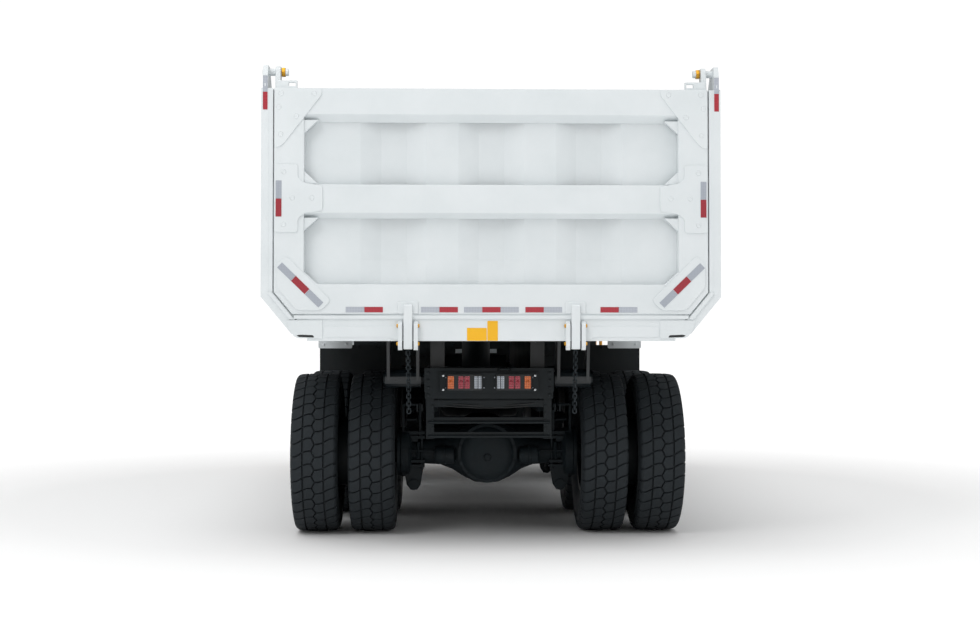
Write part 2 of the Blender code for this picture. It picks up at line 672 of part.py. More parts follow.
def bed_side(name, side, bed):
    """One side of the bed: wall, slanted foot, ribs, rear post, top rail and the tailgate's ear and pin."""
    front = head_y(BED_TOP) + 0.05
    wall = plate("Y", TAIL_Y + 0.002, front, mirrored(side_outline(SIDE_RIB_DEPTH, SIDE_RIB_DEPTH + SIDE_WALL), side))
    rib = mirrored(side_outline(0, SIDE_RIB_DEPTH + LAP, 0.005), side)
    ribs = []
    last = head_y(CORNER_FOOT) - SIDE_RIB_LENGTH - LAP
    for number in range(SIDE_RIBS):
        y = TAIL_Y + (last - TAIL_Y) * number / (SIDE_RIBS - 1)
        ribs.append(plate("Y", y, y + SIDE_RIB_LENGTH, rib))
    edge = BED_WIDTH / 2
    rail = block(span(side, edge - SIDE_RIB_DEPTH - LAP, edge), (TAIL_Y + LAP, front), (BED_TOP - 0.16, BED_TOP))
    ear_z = GATE_PIN_Z + 0.045
    ear_outline = [(TAIL_Y + 0.001, BED_TOP - 0.05), (TAIL_Y + 0.28, BED_TOP - 0.05), (TAIL_Y + 0.28, BED_TOP + 0.03)]
    ear_outline += [(TAIL_Y + 0.16, ear_z), (TAIL_Y + 0.03, ear_z), (TAIL_Y + 0.001, BED_TOP + 0.10)]
    ear = plate("X", *span(side, edge - 0.050, edge - 0.012), ear_outline)
    pin = rod((side * (edge - 0.20), GATE_PIN_Y, GATE_PIN_Z), (side * edge, GATE_PIN_Y, GATE_PIN_Z), GATE_PIN_RADIUS)
    top, low = BED_TOP + 0.2, CORNER_FOOT - 0.2
    beyond = [(head_y(low) - FIT, low), (head_y(top) - FIT, top), (front + 1.5, top), (front + 1.5, low)]
    tool = plate("X", *span(side, 1.2, edge + 0.1), beyond)
    shape = cut(joined(wall, rail), tool)
    shape = joined(shape, *ribs, ear, pin, solver="MANIFOLD")
    node(f"bed_side_{name}", shape, WHITE, bed)


def bed_floor(bed):
    """Floor plate, cross ribs, two long beams on the frame, rear sill with the lock cheeks, and hinge brackets."""
    under = FLOOR_TOP - FLOOR_PLATE
    _, _, wall_x = corner_line(SIDE_RIB_DEPTH + SIDE_WALL)
    edge, half = wall_x(under) - FIT, wall_x(CORNER_FOOT) - FIT
    front = head_y(under) - FIT
    floor = block((-edge, edge), (TAIL_Y + 0.004, front), (under, FLOOR_TOP))
    pieces = [block((-half, half), (TAIL_Y, TAIL_Y + SILL_DEPTH), (SILL_BOTTOM, FLOOR_TOP - 0.004))]
    hinge_rib = TIP_HINGE_Y
    rib_ys = [TAIL_Y + 0.52, hinge_rib] + [hinge_rib + 0.62 * n for n in range(1, 7)]
    for y in rib_ys:
        pieces.append(block((-half + 0.03, half - 0.03), (y - 0.07, y + 0.07), (FLOOR_RIB_BOTTOM, under + LAP)))
    for side in SIDES.values():
        beam = span(side, RAIL_IN - 0.06, RAIL_OUT - 0.04)
        pieces.append(block(beam, (TIP_HINGE_Y + 0.15, HEAD_FOOT_Y - 0.12), (FRAME_TOP + FIT, under + LAP)))
        hub = (RAIL_OUT + 0.035, TIP_HUB_OUTER - 0.015)
        for x in (hub[0] + 0.015, hub[1] - 0.04):
            outline = [(-0.075, TIP_HINGE_Z - 0.02), (0.075, TIP_HINGE_Z - 0.02), (0.16, FLOOR_RIB_BOTTOM + LAP)]
            outline += [(-0.16, FLOOR_RIB_BOTTOM + LAP)]
            pieces.append(plate("X", *span(side, x, x + 0.025), [(TIP_HINGE_Y + u, v) for u, v in outline]))
            pieces.append(block(span(side, x, x + 0.025), (TIP_HINGE_Y - 0.06, TIP_HINGE_Y + 0.06), (FLOOR_RIB_BOTTOM - 0.02, under)))
        ends = [(side * x, TIP_HINGE_Y, TIP_HINGE_Z) for x in hub]
        pieces.append(rod(*ends, TIP_HUB_RADIUS))
        for edge in (-1, 1):
            x = side * LOCK_X + edge * (LOCK_ARM_WIDTH / 2 + SWING + LOCK_CHEEK / 2)
            outline = [(TAIL_Y + LAP, FLOOR_TOP - 0.03), (TAIL_Y + LAP, LOCK_ARM_BOTTOM), (TAIL_Y - LOCK_PROUD + 0.02, LOCK_ARM_BOTTOM)]
            outline += [(TAIL_Y - LOCK_PROUD, LOCK_ARM_BOTTOM + 0.03), (TAIL_Y - LOCK_PROUD, FLOOR_TOP - 0.07)]
            pieces.append(plate("X", x - LOCK_CHEEK / 2, x + LOCK_CHEEK / 2, outline))
    shape = joined(floor, *pieces)
    for side in SIDES.values():
        ends = [(side * x, TIP_HINGE_Y, TIP_HINGE_Z) for x in (RAIL_OUT - 0.05, TIP_HUB_OUTER + 0.05)]
        cut(shape, rod(*ends, bored(TIP_PIN_RADIUS)))
    node("bed_floor", shape, WHITE, bed)


def bed_headboard(bed):
    """The sloping front wall over the sides' front ends, with ribs and the tipping cylinder's clevis."""
    lean = sqrt(1 + HEAD_SLOPE**2)
    edge = BED_WIDTH / 2
    low = FLOOR_TOP - FLOOR_PLATE
    slope = (CORNER_TOP - CORNER_FOOT) / CORNER_WIDTH
    low_x = edge - (CORNER_TOP - low) / slope
    top = BED_TOP - HEAD_THICKNESS / 2 * HEAD_SLOPE / lean
    outline = [(-edge, top), (-edge, CORNER_TOP), (-low_x, low), (low_x, low), (edge, CORNER_TOP), (edge, top)]
    board = plate("Y", -HEAD_THICKNESS / 2, HEAD_THICKNESS / 2, [(x, (z - low) * lean) for x, z in outline])
    board.rotation_euler.x -= atan2(HEAD_SLOPE, 1)
    board.location = (0, head_y(low) + HEAD_THICKNESS / 2 * lean, low)
    ahead = HEAD_THICKNESS * lean
    ribs = []
    for x in (-1.35, -0.80, -0.30, 0.30, 0.80, 1.35):
        line = [(head_y(z) + ahead + push, z) for z, push in ((1.95, -0.01), (BED_TOP - 0.05, -0.01), (BED_TOP - 0.05, 0.07), (1.95, 0.07))]
        ribs.append(plate("X", x - 0.06, x + 0.06, line))
    for side in SIDES.values():
        line = [(head_y(z) + ahead - 0.015, z) for z in (HOIST_EYE_Z - 0.22, HOIST_EYE_Z + 0.22)]
        line += [(HOIST_Y + 0.06, HOIST_EYE_Z + 0.08), (HOIST_Y + 0.07, HOIST_EYE_Z - 0.06)]
        ribs.append(plate("X", *span(side, CLEVIS_IN, CLEVIS_OUT), line))
    # the pin is left out between the plates, where the cylinder's eye needs room to drift
    for side in SIDES.values():
        ends = [(side * x, HOIST_Y, HOIST_EYE_Z) for x in (CLEVIS_OUT - LAP, CLEVIS_OUT + 0.015)]
        ribs.append(rod(*ends, HOIST_PIN_RADIUS))
    node("bed_headboard", joined(board, *ribs), WHITE, bed)


def bed_canopy(bed):
    """The plate over the cab, with long ribs on it, resting on the headboard's top edge."""
    rear = head_y(BED_TOP)
    low = BED_TOP + FIT + 0.0005
    half = BED_WIDTH / 2 - 0.06
    roof = block((-half, half), (rear, rear + CANOPY_REACH), (low, low + CANOPY_THICKNESS))
    ribs = [block((x - 0.05, x + 0.05), (rear + 0.02, rear + CANOPY_REACH - 0.02), (low + 0.03, low + 0.17)) for x in (-1.3, -0.45, 0.45, 1.3)]
    brow = block((-half, half), (rear + CANOPY_REACH - 0.10, rear + CANOPY_REACH + 0.001), (low - 0.06, low + 0.15))
    node("bed_canopy", joined(roof, *ribs, brow), WHITE, bed)


# ---- tailgate ----
def corner_cutters():
    """What lies beyond the slanted feet of the bed's sides, for the tailgate's two lower corners."""
    _, knee_z, x_at = corner_line(SIDE_RIB_DEPTH + SIDE_WALL + SWING)
    low, high, beyond = CORNER_FOOT - 0.1, knee_z + 0.2, BED_WIDTH / 2 + 0.5
    outline = [(x_at(high), high), (x_at(low), low), (beyond, low), (beyond, high)]
    y = (TAIL_Y - 0.1, TAIL_Y + GATE_DEPTH + GROOVE_DEPTH + 0.1)
    return [plate("Y", *y, mirrored(outline, side)) for side in SIDES.values()]


def tailgate_frame(gate):
    """Posts and beams, the arms that hang it on its pins, and the two lock arms."""
    y = (TAIL_Y, TAIL_Y + GATE_DEPTH)
    inner_y = (TAIL_Y + 0.001, TAIL_Y + GATE_DEPTH - 0.001)
    edge = GATE_HALF
    posts = [block(span(side, edge - GATE_POST, edge), y, (GATE_BOTTOM, BED_TOP)) for side in SIDES.values()]
    between = (-edge + GATE_POST - LAP, edge - GATE_POST + LAP)
    beams = [
        block(between, inner_y, (BED_TOP - GATE_TOP_BEAM, BED_TOP - 0.001)),
        block(between, inner_y, (GATE_MIDDLE_BEAM_Z - GATE_MIDDLE_BEAM / 2, GATE_MIDDLE_BEAM_Z + GATE_MIDDLE_BEAM / 2)),
        block(between, inner_y, (GATE_BOTTOM + 0.001, GATE_BOTTOM + GATE_BOTTOM_BEAM)),
    ]
    extras, bores = [], []
    for side in SIDES.values():
        x = span(side, edge - 0.09, edge - 0.05)
        outline = [(TAIL_Y + 0.02, BED_TOP - 0.05), (TAIL_Y + GATE_DEPTH - 0.02, BED_TOP - 0.05)]
        outline += [(GATE_PIN_Y + 0.05, GATE_PIN_Z), (GATE_PIN_Y + 0.03, GATE_PIN_Z + 0.045)]
        outline += [(GATE_PIN_Y - 0.03, GATE_PIN_Z + 0.045), (GATE_PIN_Y - 0.06, GATE_PIN_Z)]
        extras.append(plate("X", *x, outline))
        ends = [(side * along, GATE_PIN_Y, GATE_PIN_Z) for along in (edge - 0.2, edge)]
        bores.append(rod(*ends, bored(GATE_PIN_RADIUS)))
        arm = (side * LOCK_X - LOCK_ARM_WIDTH / 2, side * LOCK_X + LOCK_ARM_WIDTH / 2)
        extras.append(block((arm[0] - 0.045, arm[1] + 0.045), (TAIL_Y - 0.016, TAIL_Y + LAP), (GATE_BOTTOM + 0.002, GATE_BOTTOM + 0.105)))
        extras.append(block(arm, (TAIL_Y - LOCK_PROUD + 0.004, TAIL_Y - SWING), (LOCK_ARM_BOTTOM + 0.004, GATE_BOTTOM + 0.085)))
    frame = joined(posts[0], beams[0], posts[1], *beams[1:], *extras)
    node("tailgate_frame", cut(frame, *bores, *corner_cutters()), WHITE, gate)


def tailgate_panel(gate):
    """One sheet in front of the frame, pressed forward in three grooves."""
    def line(y):
        points = [(-GATE_HALF + 0.02, y)]
        for number in (-1, 0, 1):
            for reach, depth in ((-GROOVE_WIDTH, 0), (-GROOVE_FLAT, GROOVE_DEPTH), (GROOVE_FLAT, GROOVE_DEPTH), (GROOVE_WIDTH, 0)):
                points.append((number * GROOVE_PITCH + reach / 2, y + depth))
        return points + [(GATE_HALF - 0.02, y)]

    back = TAIL_Y + GATE_DEPTH + FIT
    outline = line(back) + list(reversed(line(back + GATE_PLATE)))
    sheet = plate("Z", GATE_BOTTOM + 0.01, BED_TOP - 0.03, outline)
    node("tailgate_panel", cut(sheet, *corner_cutters()), WHITE, gate)


# ---- tipping cylinder ----
def hoist_reach(angle):
    """The distance from the cylinder's foot to its eye with the bed tipped this far."""
    y, z = HOIST_FROM_HINGE, HOIST_EYE_Z - TIP_HINGE_Z
    eye_y, eye_z = y * cos(angle) - z * sin(angle), y * sin(angle) + z * cos(angle)
    return hypot(eye_y - y, eye_z - (HOIST_FOOT_Z - TIP_HINGE_Z))


def across(half, z):
    """The ends of a line along X on the cylinder's centre."""
    return (-half, HOIST_Y, z), (half, HOIST_Y, z)


def hoist():
    """The barrel on its foot, and the stages nested in it."""
    foot = holder("hoist_foot", (0, HOIST_Y, HOIST_FOOT_Z))
    travel = (hoist_reach(TIP_ANGLE) - hoist_reach(0)) / HOIST_STAGES
    low = HOIST_FOOT_NECK
    tube = travel + HOIST_LAP
    centre = (0, HOIST_Y, HOIST_FOOT_Z)
    eye_half = CLEVIS_IN - FIT
    radius = HOIST_RADIUS
    base = low + 0.03
    profile = [(0, low), (radius, low), (radius, base + tube)]
    profile += [(radius - HOIST_WALL, base + tube), (radius - HOIST_WALL, base), (0, base)]
    neck = block((-eye_half, eye_half), (HOIST_Y - 0.06, HOIST_Y + 0.06), (HOIST_FOOT_Z, HOIST_FOOT_Z + low + 0.015))
    foot_eye = rod(*across(eye_half, HOIST_FOOT_Z), HOIST_EYE_RADIUS)
    barrel = joined(turned(profile[::-1], centre, "Z", 24), neck, foot_eye)
    node("hoist_barrel", cut(barrel, rod(*across(0.2, HOIST_FOOT_Z), bored(HOIST_PIN_RADIUS))), BLACK, foot)
    for stage in range(1, HOIST_STAGES + 1):
        radius -= HOIST_WALL + HOIST_SLIDE
        start = base + 0.002 * stage
        if stage < HOIST_STAGES:
            top = base + tube + 0.03 * stage
            bore = radius - HOIST_WALL
            profile = [(radius, start), (radius, top), (bore, top), (bore, start)]
            shape = turned(profile[::-1], centre, "Z", 24)
        else:
            top = HOIST_EYE_Z - HOIST_FOOT_Z
            profile = [(0, top), (0, start), (radius, start), (radius, top)]
            shape = turned(profile[::-1], centre, "Z", 24)
            shape = joined(shape, rod(*across(eye_half, HOIST_EYE_Z), HOIST_EYE_RADIUS))
            shape = cut(shape, rod(*across(0.2, HOIST_EYE_Z), bored(HOIST_PIN_RADIUS) + HOIST_EYE_PLAY))
        node(f"hoist_stage_{stage}", shape, STEEL, foot)


# ---- front end ----
def front_deck():
    """The deck plate over the front wheels, on legs from the rails."""
    low = DECK_TOP - DECK_PLATE
    deck = block((-DECK_HALF, DECK_HALF), (DECK_REAR_Y, DECK_FRONT_Y), (low, DECK_TOP))
    legs = []
    for side in SIDES.values():
        for y in (DECK_REAR_Y + 0.08, FRONT_AXLE_Y + 0.9, FRAME_FRONT_Y - 0.08):
            legs.append(block(span(side, RAIL_IN + 0.01, RAIL_OUT - 0.01), (y - 0.05, y + 0.05), (FRAME_TOP + FIT, low + LAP)))
        wing_y = FRONT_AXLE_Y - 0.86
        outline = [(wing_y, 1.18), (wing_y + 0.03, 1.18), (wing_y + 0.10, 1.44), (DECK_REAR_Y + LAP, low + 0.01)]
        outline += [(DECK_REAR_Y + LAP, low + 0.035), (wing_y + 0.07, 1.46)]
        legs.append(plate("X", *span(side, 0.98, DECK_HALF - 0.04), outline))
    node("front_deck", joined(deck, *legs), WHITE)


def bumper():
    y = (FRONT_Y - BUMPER_DEPTH, FRONT_Y)
    high = DECK_TOP - DECK_PLATE - FIT
    bar = block((-1.62, 1.62), y, (BUMPER_BOTTOM, high))
    recess = [block(span(side, 1.02, 1.46), (FRONT_Y - 0.05, FRONT_Y + 0.1), (0.92, 1.16)) for side in SIDES.values()]
    node("front_bumper", cut(bar, *recess), WHITE)


def bonnet():
    y = (CAB_FRONT_Y - 1.20, CAB_FRONT_Y)
    low = DECK_TOP + FIT
    outline = [(y[0], low), (y[1], low), (y[1], 2.35), (y[1] - 0.12, 2.52), (y[0], 2.52)]
    cover = plate("X", CAB_RIGHT + 0.10, CAB_RIGHT + 1.30, outline)
    node("radiator_housing", cover, WHITE)


def air_cleaner():
    x, y = DECK_HALF - 0.32, DECK_REAR_Y + 0.45
    profile = [(0, 0), (0.20, 0), (0.20, 0.66), (0.09, 0.72), (0.09, 0.84), (0.15, 0.85), (0.15, 0.97), (0, 1.0)]
    node("air_cleaner", turned(profile[::-1], (x, y, DECK_TOP + FIT), "Z", 20), BLACK)


def railing():
    """A bent-tube rail round the deck's right front corner."""
    x, high, radius = DECK_HALF - 0.06, DECK_TOP + 1.0, 0.02
    rear, front = DECK_REAR_Y + 0.80, DECK_FRONT_Y - 0.04
    low = DECK_TOP + FIT
    start = CAB_RIGHT + 1.36
    hoop = pipe([(x, rear, low), (x, rear, high), (x, front, high), (start, front, high), (start, front, low)], radius)
    middle = pipe([(x, rear, low + 0.5), (x, front, low + 0.5), (start, front, low + 0.5)], radius * 0.8)
    posts = [rod((x, y, low), (x, y, high), radius * 0.9, steps=10) for y in ((rear + front) / 2, front)]
    node("deck_railing", joined(hoop, middle, *posts), YELLOW)


def ladder():
    """Steps below the cab door, hung from the deck."""
    x = (-DECK_HALF + 0.02, -DECK_HALF + 0.16)
    start = FRONT_AXLE_Y + 0.92
    y = (start, start + 0.50)
    high = DECK_TOP - DECK_PLATE - FIT
    stiles = [block(x, (edge - 0.02, edge + 0.02), (0.46, high)) for edge in y]
    steps = [block((x[0] + 0.005, x[1] - 0.005), y, (z, z + 0.035)) for z in (0.50, 0.84, 1.18)]
    node("access_ladder", joined(stiles[0], steps[0], stiles[1], *steps[1:]), YELLOW)


def cab_profile(wall):
    """The cab's side outline, set in by a wall: (y, z)."""
    return [
        (CAB_REAR_Y + wall, CAB_FLOOR + wall),
        (CAB_FRONT_Y - wall, CAB_FLOOR + wall),
        (CAB_FRONT_Y - wall, CAB_FLOOR + 0.80),
        (CAB_FRONT_Y - 0.16 - wall, CAB_TOP - 0.10 - wall / 2),
        (CAB_FRONT_Y - 0.24 - wall, CAB_TOP - wall),
        (CAB_REAR_Y + wall, CAB_TOP - wall),
    ]


DOOR_Y = CAB_FRONT_Y - 0.30
DOOR_LOW, DOOR_HIGH = CAB_FLOOR + 0.08, CAB_TOP - 0.16
WINDOW_LOW = CAB_FLOOR + 0.86


def cab():
    """Hollow shell with its windows and door opening cut, and the glass, seat and dashboard."""
    shell = plate("X", CAB_LEFT, CAB_RIGHT, cab_profile(0))
    hollow = plate("X", CAB_LEFT + CAB_WALL, CAB_RIGHT - CAB_WALL, cab_profile(CAB_WALL))
    door_y = (DOOR_Y - DOOR_WIDTH, DOOR_Y)
    doorway = block((CAB_LEFT - 0.1, CAB_LEFT + 0.2), door_y, (DOOR_LOW, DOOR_HIGH))
    side_y = (CAB_REAR_Y + 0.20, CAB_FRONT_Y - 0.36)
    side_z = (WINDOW_LOW, CAB_TOP - 0.24)
    right = block((CAB_RIGHT - 0.2, CAB_RIGHT + 0.1), side_y, side_z)
    screen_x = (CAB_LEFT + 0.14, CAB_RIGHT - 0.14)
    front = block(screen_x, (CAB_FRONT_Y - 0.5, CAB_FRONT_Y + 0.1), (WINDOW_LOW + 0.04, CAB_TOP - 0.22))
    rear_z = (WINDOW_LOW + 0.25, CAB_TOP - 0.30)
    rear = block((CAB_LEFT + 0.30, CAB_RIGHT - 0.30), (CAB_REAR_Y - 0.1, CAB_REAR_Y + 0.2), rear_z)
    lugs = []
    for z in (DOOR_LOW + 0.30, DOOR_HIGH - 0.40):
        lugs.append(block((CAB_LEFT - 0.028, CAB_LEFT + LAP), (DOOR_Y + 0.002, DOOR_Y + 0.06), (z - 0.06, z - FIT)))
    node("cab_shell", joined(cut(shell, hollow, doorway, right, front, rear), *lugs), WHITE)

    gap = FIT
    pane = 0.5 * (CAB_WALL - GLASS)
    side_pane = block(
        (CAB_RIGHT - pane - GLASS, CAB_RIGHT - pane),
        (side_y[0] + gap, side_y[1] - gap),
        (side_z[0] + gap, side_z[1] - gap),
    )
    node("cab_side_glass", side_pane, CLEAR)
    rear_pane = block(
        (CAB_LEFT + 0.30 + gap, CAB_RIGHT - 0.30 - gap),
        (CAB_REAR_Y + pane, CAB_REAR_Y + pane + GLASS),
        (rear_z[0] + gap, rear_z[1] - gap),
    )
    node("cab_rear_glass", rear_pane, CLEAR)
    low, high = WINDOW_LOW + 0.04 + gap, CAB_TOP - 0.22 - gap
    rise = (CAB_TOP - 0.10) - (CAB_FLOOR + 0.80)

    def face_y(z):
        return CAB_FRONT_Y - 0.16 * (z - CAB_FLOOR - 0.80) / rise - 0.02

    line = [(face_y(low), low), (face_y(high), high), (face_y(high) - GLASS, high), (face_y(low) - GLASS, low)]
    node("windscreen", plate("X", screen_x[0] + gap, screen_x[1] - gap, line), CLEAR)

    hinge = holder("cab_door_hinge", (CAB_LEFT - 0.014, DOOR_Y + 0.016, DOOR_LOW))
    edge = 0.006
    slab = block(
        (CAB_LEFT, CAB_LEFT + CAB_WALL - 0.005),
        (door_y[0] + edge, door_y[1] - edge),
        (DOOR_LOW + edge, DOOR_HIGH - edge),
    )
    window_y, window_z = (door_y[0] + 0.10, door_y[1] - 0.10), (WINDOW_LOW, DOOR_HIGH - 0.10)
    opening = block((CAB_LEFT - 0.1, CAB_LEFT + 0.2), window_y, window_z)
    leaves = []
    for z in (DOOR_LOW + 0.30, DOOR_HIGH - 0.40):
        leaves.append(rod((CAB_LEFT - 0.014, DOOR_Y + 0.016, z), (CAB_LEFT - 0.014, DOOR_Y + 0.016, z + 0.07), 0.013, steps=12))
        leaves.append(block((CAB_LEFT - 0.020, CAB_LEFT - 0.006), (DOOR_Y - 0.07, DOOR_Y + 0.016), (z + 0.005, z + 0.065)))
        leaves.append(block((CAB_LEFT - 0.020, CAB_LEFT + 0.01), (DOOR_Y - 0.07, DOOR_Y - 0.015), (z + 0.005, z + 0.065)))
    grip = pipe([(CAB_LEFT + 0.01, door_y[0] + 0.05, 2.25), (CAB_LEFT - 0.04, door_y[0] + 0.05, 2.27), (CAB_LEFT - 0.04, door_y[0] + 0.05, 2.38), (CAB_LEFT + 0.01, door_y[0] + 0.05, 2.40)], 0.012)
    node("cab_door", joined(cut(slab, opening), *leaves, grip), WHITE, hinge)
    door_pane = block(
        (CAB_LEFT + 0.018, CAB_LEFT + 0.018 + GLASS),
        (window_y[0] + gap, window_y[1] - gap),
        (window_z[0] + gap, window_z[1] - gap),
    )
    node("cab_door_glass", door_pane, CLEAR, hinge)

    floor = CAB_FLOOR + CAB_WALL + FIT
    middle = (CAB_LEFT + CAB_RIGHT) / 2
    rear_y = CAB_REAR_Y + 0.30
    cushion = block((middle - 0.26, middle + 0.26), (rear_y, rear_y + 0.52), (floor + 0.42, floor + 0.56))
    back = block((middle - 0.25, middle + 0.25), (rear_y - 0.06, rear_y + 0.10), (floor + 0.50, floor + 1.22))
    post = block((middle - 0.15, middle + 0.15), (rear_y + 0.08, rear_y + 0.42), (floor, floor + 0.45))
    node("driver_seat", joined(cushion, back, post), CLOTH)
    desk_y = (CAB_FRONT_Y - CAB_WALL - 0.30, CAB_FRONT_Y - CAB_WALL - 0.03)
    desk = block((CAB_LEFT + CAB_WALL + 0.01, CAB_RIGHT - CAB_WALL - 0.01), desk_y, (floor + 0.40, floor + 0.80))
    column = rod((middle, desk_y[0] + 0.05, floor + 0.68), (middle, desk_y[0] - 0.20, floor + 0.84), 0.03, steps=12)
    wheel = rod((middle, desk_y[0] - 0.19, floor + 0.835), (middle, desk_y[0] - 0.215, floor + 0.85), 0.22, steps=20)
    stand = block((CAB_LEFT + CAB_WALL + 0.10, CAB_RIGHT - CAB_WALL - 0.10), (desk_y[0] + 0.05, desk_y[1] - 0.02), (floor, floor + 0.42))
    node("dashboard", joined(desk, column, wheel, stand), CLOTH)


def mirrors():
    """A mirror on a post at each front corner of the deck: ahead of the cab, and inside the railing."""
    for name, side, inset in (("left", -1, 0.03), ("right", 1, 0.22)):
        x = side * (DECK_HALF - inset)
        y = DECK_FRONT_Y - (0.035 if side < 0 else 0.16)
        arm = pipe([(x, y, DECK_TOP + FIT), (x, y, 2.75)], 0.016)
        glass = block((x - 0.10, x + 0.10), (y - 0.025, y + 0.025), (2.35, 2.73))
        node(f"mirror_{name}", joined(arm, glass), BLACK)


main_frame()
lamp_panel()
underrun_guard()
drive_axle("rear_axle", REAR_AXLE_Y, -1)
drive_axle("middle_axle", MIDDLE_AXLE_Y, -1)
balance_suspension()
front_axle()
engine()
prop_shafts()
tanks()
mudguards()
for wheel_name, wheel_side in SIDES.items():
    twin_wheels(f"middle_wheels_{wheel_name}", wheel_side, MIDDLE_AXLE_Y)
    twin_wheels(f"rear_wheels_{wheel_name}", wheel_side, REAR_AXLE_Y)
    steered_wheel(wheel_name, wheel_side)
tie_rod()
bed_hinge = holder("bed_hinge", (0, TIP_HINGE_Y, TIP_HINGE_Z))
for side_name, side_sign in SIDES.items():
    bed_side(side_name, side_sign, bed_hinge)
bed_floor(bed_hinge)
bed_headboard(bed_hinge)
bed_canopy(bed_hinge)
gate_hinge = holder("tailgate_hinge", (0, GATE_PIN_Y, GATE_PIN_Z), bed_hinge)
tailgate_frame(gate_hinge)
tailgate_panel(gate_hinge)
hoist()
front_deck()
bumper()
bonnet()
air_cleaner()
railing()
ladder()
cab()
mirrors()
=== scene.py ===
"""The looks of a wide-body mining dump truck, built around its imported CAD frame. Metres throughout."""

import random
from math import cos, pi, radians, sin

import bmesh
import bpy
from mathutils import Matrix, Vector


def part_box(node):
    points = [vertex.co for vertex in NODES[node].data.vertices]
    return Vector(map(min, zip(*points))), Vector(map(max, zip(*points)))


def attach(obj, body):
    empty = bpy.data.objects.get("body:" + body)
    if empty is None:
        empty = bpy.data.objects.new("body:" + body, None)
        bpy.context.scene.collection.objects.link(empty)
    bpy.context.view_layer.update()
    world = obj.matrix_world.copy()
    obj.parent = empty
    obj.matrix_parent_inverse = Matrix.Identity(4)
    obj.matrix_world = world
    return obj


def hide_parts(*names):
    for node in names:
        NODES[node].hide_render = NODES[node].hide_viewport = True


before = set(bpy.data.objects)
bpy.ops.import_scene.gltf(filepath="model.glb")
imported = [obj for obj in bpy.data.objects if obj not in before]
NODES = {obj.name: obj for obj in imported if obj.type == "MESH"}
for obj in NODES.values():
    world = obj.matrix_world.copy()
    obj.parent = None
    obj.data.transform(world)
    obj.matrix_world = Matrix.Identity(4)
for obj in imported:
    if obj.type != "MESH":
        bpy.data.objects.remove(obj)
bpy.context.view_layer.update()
SIDES = {"left": -1, "right": 1}


# ---- finishes ----
def linear(code):
    """An sRGB hex colour as linear values."""
    values = [int(code[i : i + 2], 16) / 255 for i in (0, 2, 4)]
    return (*[v / 12.92 if v <= 0.04045 else ((v + 0.055) / 1.055) ** 2.4 for v in values], 1.0)


def add(tree, kind, links=None, **settings):
    """A shader node with its settings; links holds values or other nodes' outputs for its sockets."""
    made = tree.nodes.new("ShaderNode" + kind)
    for name, value in settings.items():
        setattr(made, name, value)
    for name, value in (links or {}).items():
        if isinstance(value, bpy.types.NodeSocket):
            tree.links.new(value, made.inputs[name])
        else:
            made.inputs[name].default_value = value
    return made


def finish_of(name, colour, roughness, metallic=0.0, **more):
    """A material with its shader, and the object's own coordinates for patterns in real sizes."""
    material = bpy.data.materials.new(name)
    material.use_nodes = True
    tree = material.node_tree
    shader = tree.nodes["Principled BSDF"]
    shader.inputs["Base Color"].default_value = linear(colour)
    shader.inputs["Roughness"].default_value = roughness
    shader.inputs["Metallic"].default_value = metallic
    for socket, value in more.items():
        shader.inputs[socket.replace("_", " ")].default_value = value
    place = add(tree, "TexCoord").outputs["Object"]
    return material, tree, shader, place


def per_mm(size):
    """The scale that makes a pattern repeat about every so many millimetres."""
    return 1000.0 / size


def mottle(tree, shader, place, one, other, size, contrast=1.0):
    """Two shades of one colour, clouded at a real size."""
    cloud = add(tree, "TexNoise", {"Vector": place, "Scale": per_mm(size), "Detail": 5.0, "Roughness": 0.6})
    low, high = 0.5 - 0.25 / contrast, 0.5 + 0.25 / contrast
    spread = add(tree, "MapRange", {"Value": cloud.outputs["Fac"], "From Min": low, "From Max": high})
    mixed = add(
        tree, "Mix", {0: spread.outputs["Result"], 6: linear(one), 7: linear(other)}, data_type="RGBA"
    )
    tree.links.new(mixed.outputs[2], shader.inputs["Base Color"])
    return spread.outputs["Result"]


def sheen_range(tree, shader, cloud, low, high):
    """Roughness that wanders between two values with a cloud."""
    spread = add(tree, "MapRange", {"Value": cloud, "To Min": low, "To Max": high})
    tree.links.new(spread.outputs["Result"], shader.inputs["Roughness"])


def relief(tree, shader, height, depth):
    """Bumps of a real depth in metres."""
    bump = add(tree, "Bump", {"Height": height, "Distance": depth, "Strength": 1.0})
    tree.links.new(bump.outputs["Normal"], shader.inputs["Normal"])


def enamel(name, one, other, roughness, grime=None, gloss=0.25):
    """Sprayed and baked enamel on pressed plate: a smooth gloss with faint orange peel and handling haze."""
    material, tree, shader, place = finish_of(
        name, one, roughness, Coat_Weight=gloss, Coat_Roughness=0.12, Specular_IOR_Level=0.25 + gloss
    )
    cloud = mottle(tree, shader, place, one, other, 420, 1.2)
    sheen_range(tree, shader, cloud, roughness - 0.05, roughness + 0.08)
    if grime:
        # road dust is thickest up to 0.2 m and thins out to nothing at 1.3 m
        height = add(tree, "SeparateXYZ", {"Vector": place}).outputs["Z"]
        rise = add(
            tree, "MapRange",
            {"Value": height, "From Min": 0.2, "From Max": 1.3, "To Min": 0.55, "To Max": 0.0}
        )
        speck = add(tree, "TexNoise", {"Vector": place, "Scale": per_mm(60), "Detail": 6.0})
        amount = add(
            tree, "Math", {0: rise.outputs["Result"], 1: speck.outputs["Fac"]}, operation="MULTIPLY"
        )
        base = shader.inputs["Base Color"].links[0].from_socket
        dusty = add(tree, "Mix", {0: amount.outputs[0], 6: base, 7: linear(grime)}, data_type="RGBA")
        tree.links.new(dusty.outputs[2], shader.inputs["Base Color"])
    # orange peel is about 2 mm wide; drawn at 14 mm so that it shows
    peel = add(tree, "TexNoise", {"Vector": place, "Scale": per_mm(14), "Detail": 2.0})
    relief(tree, shader, peel.outputs["Fac"], 0.0004)
    return material


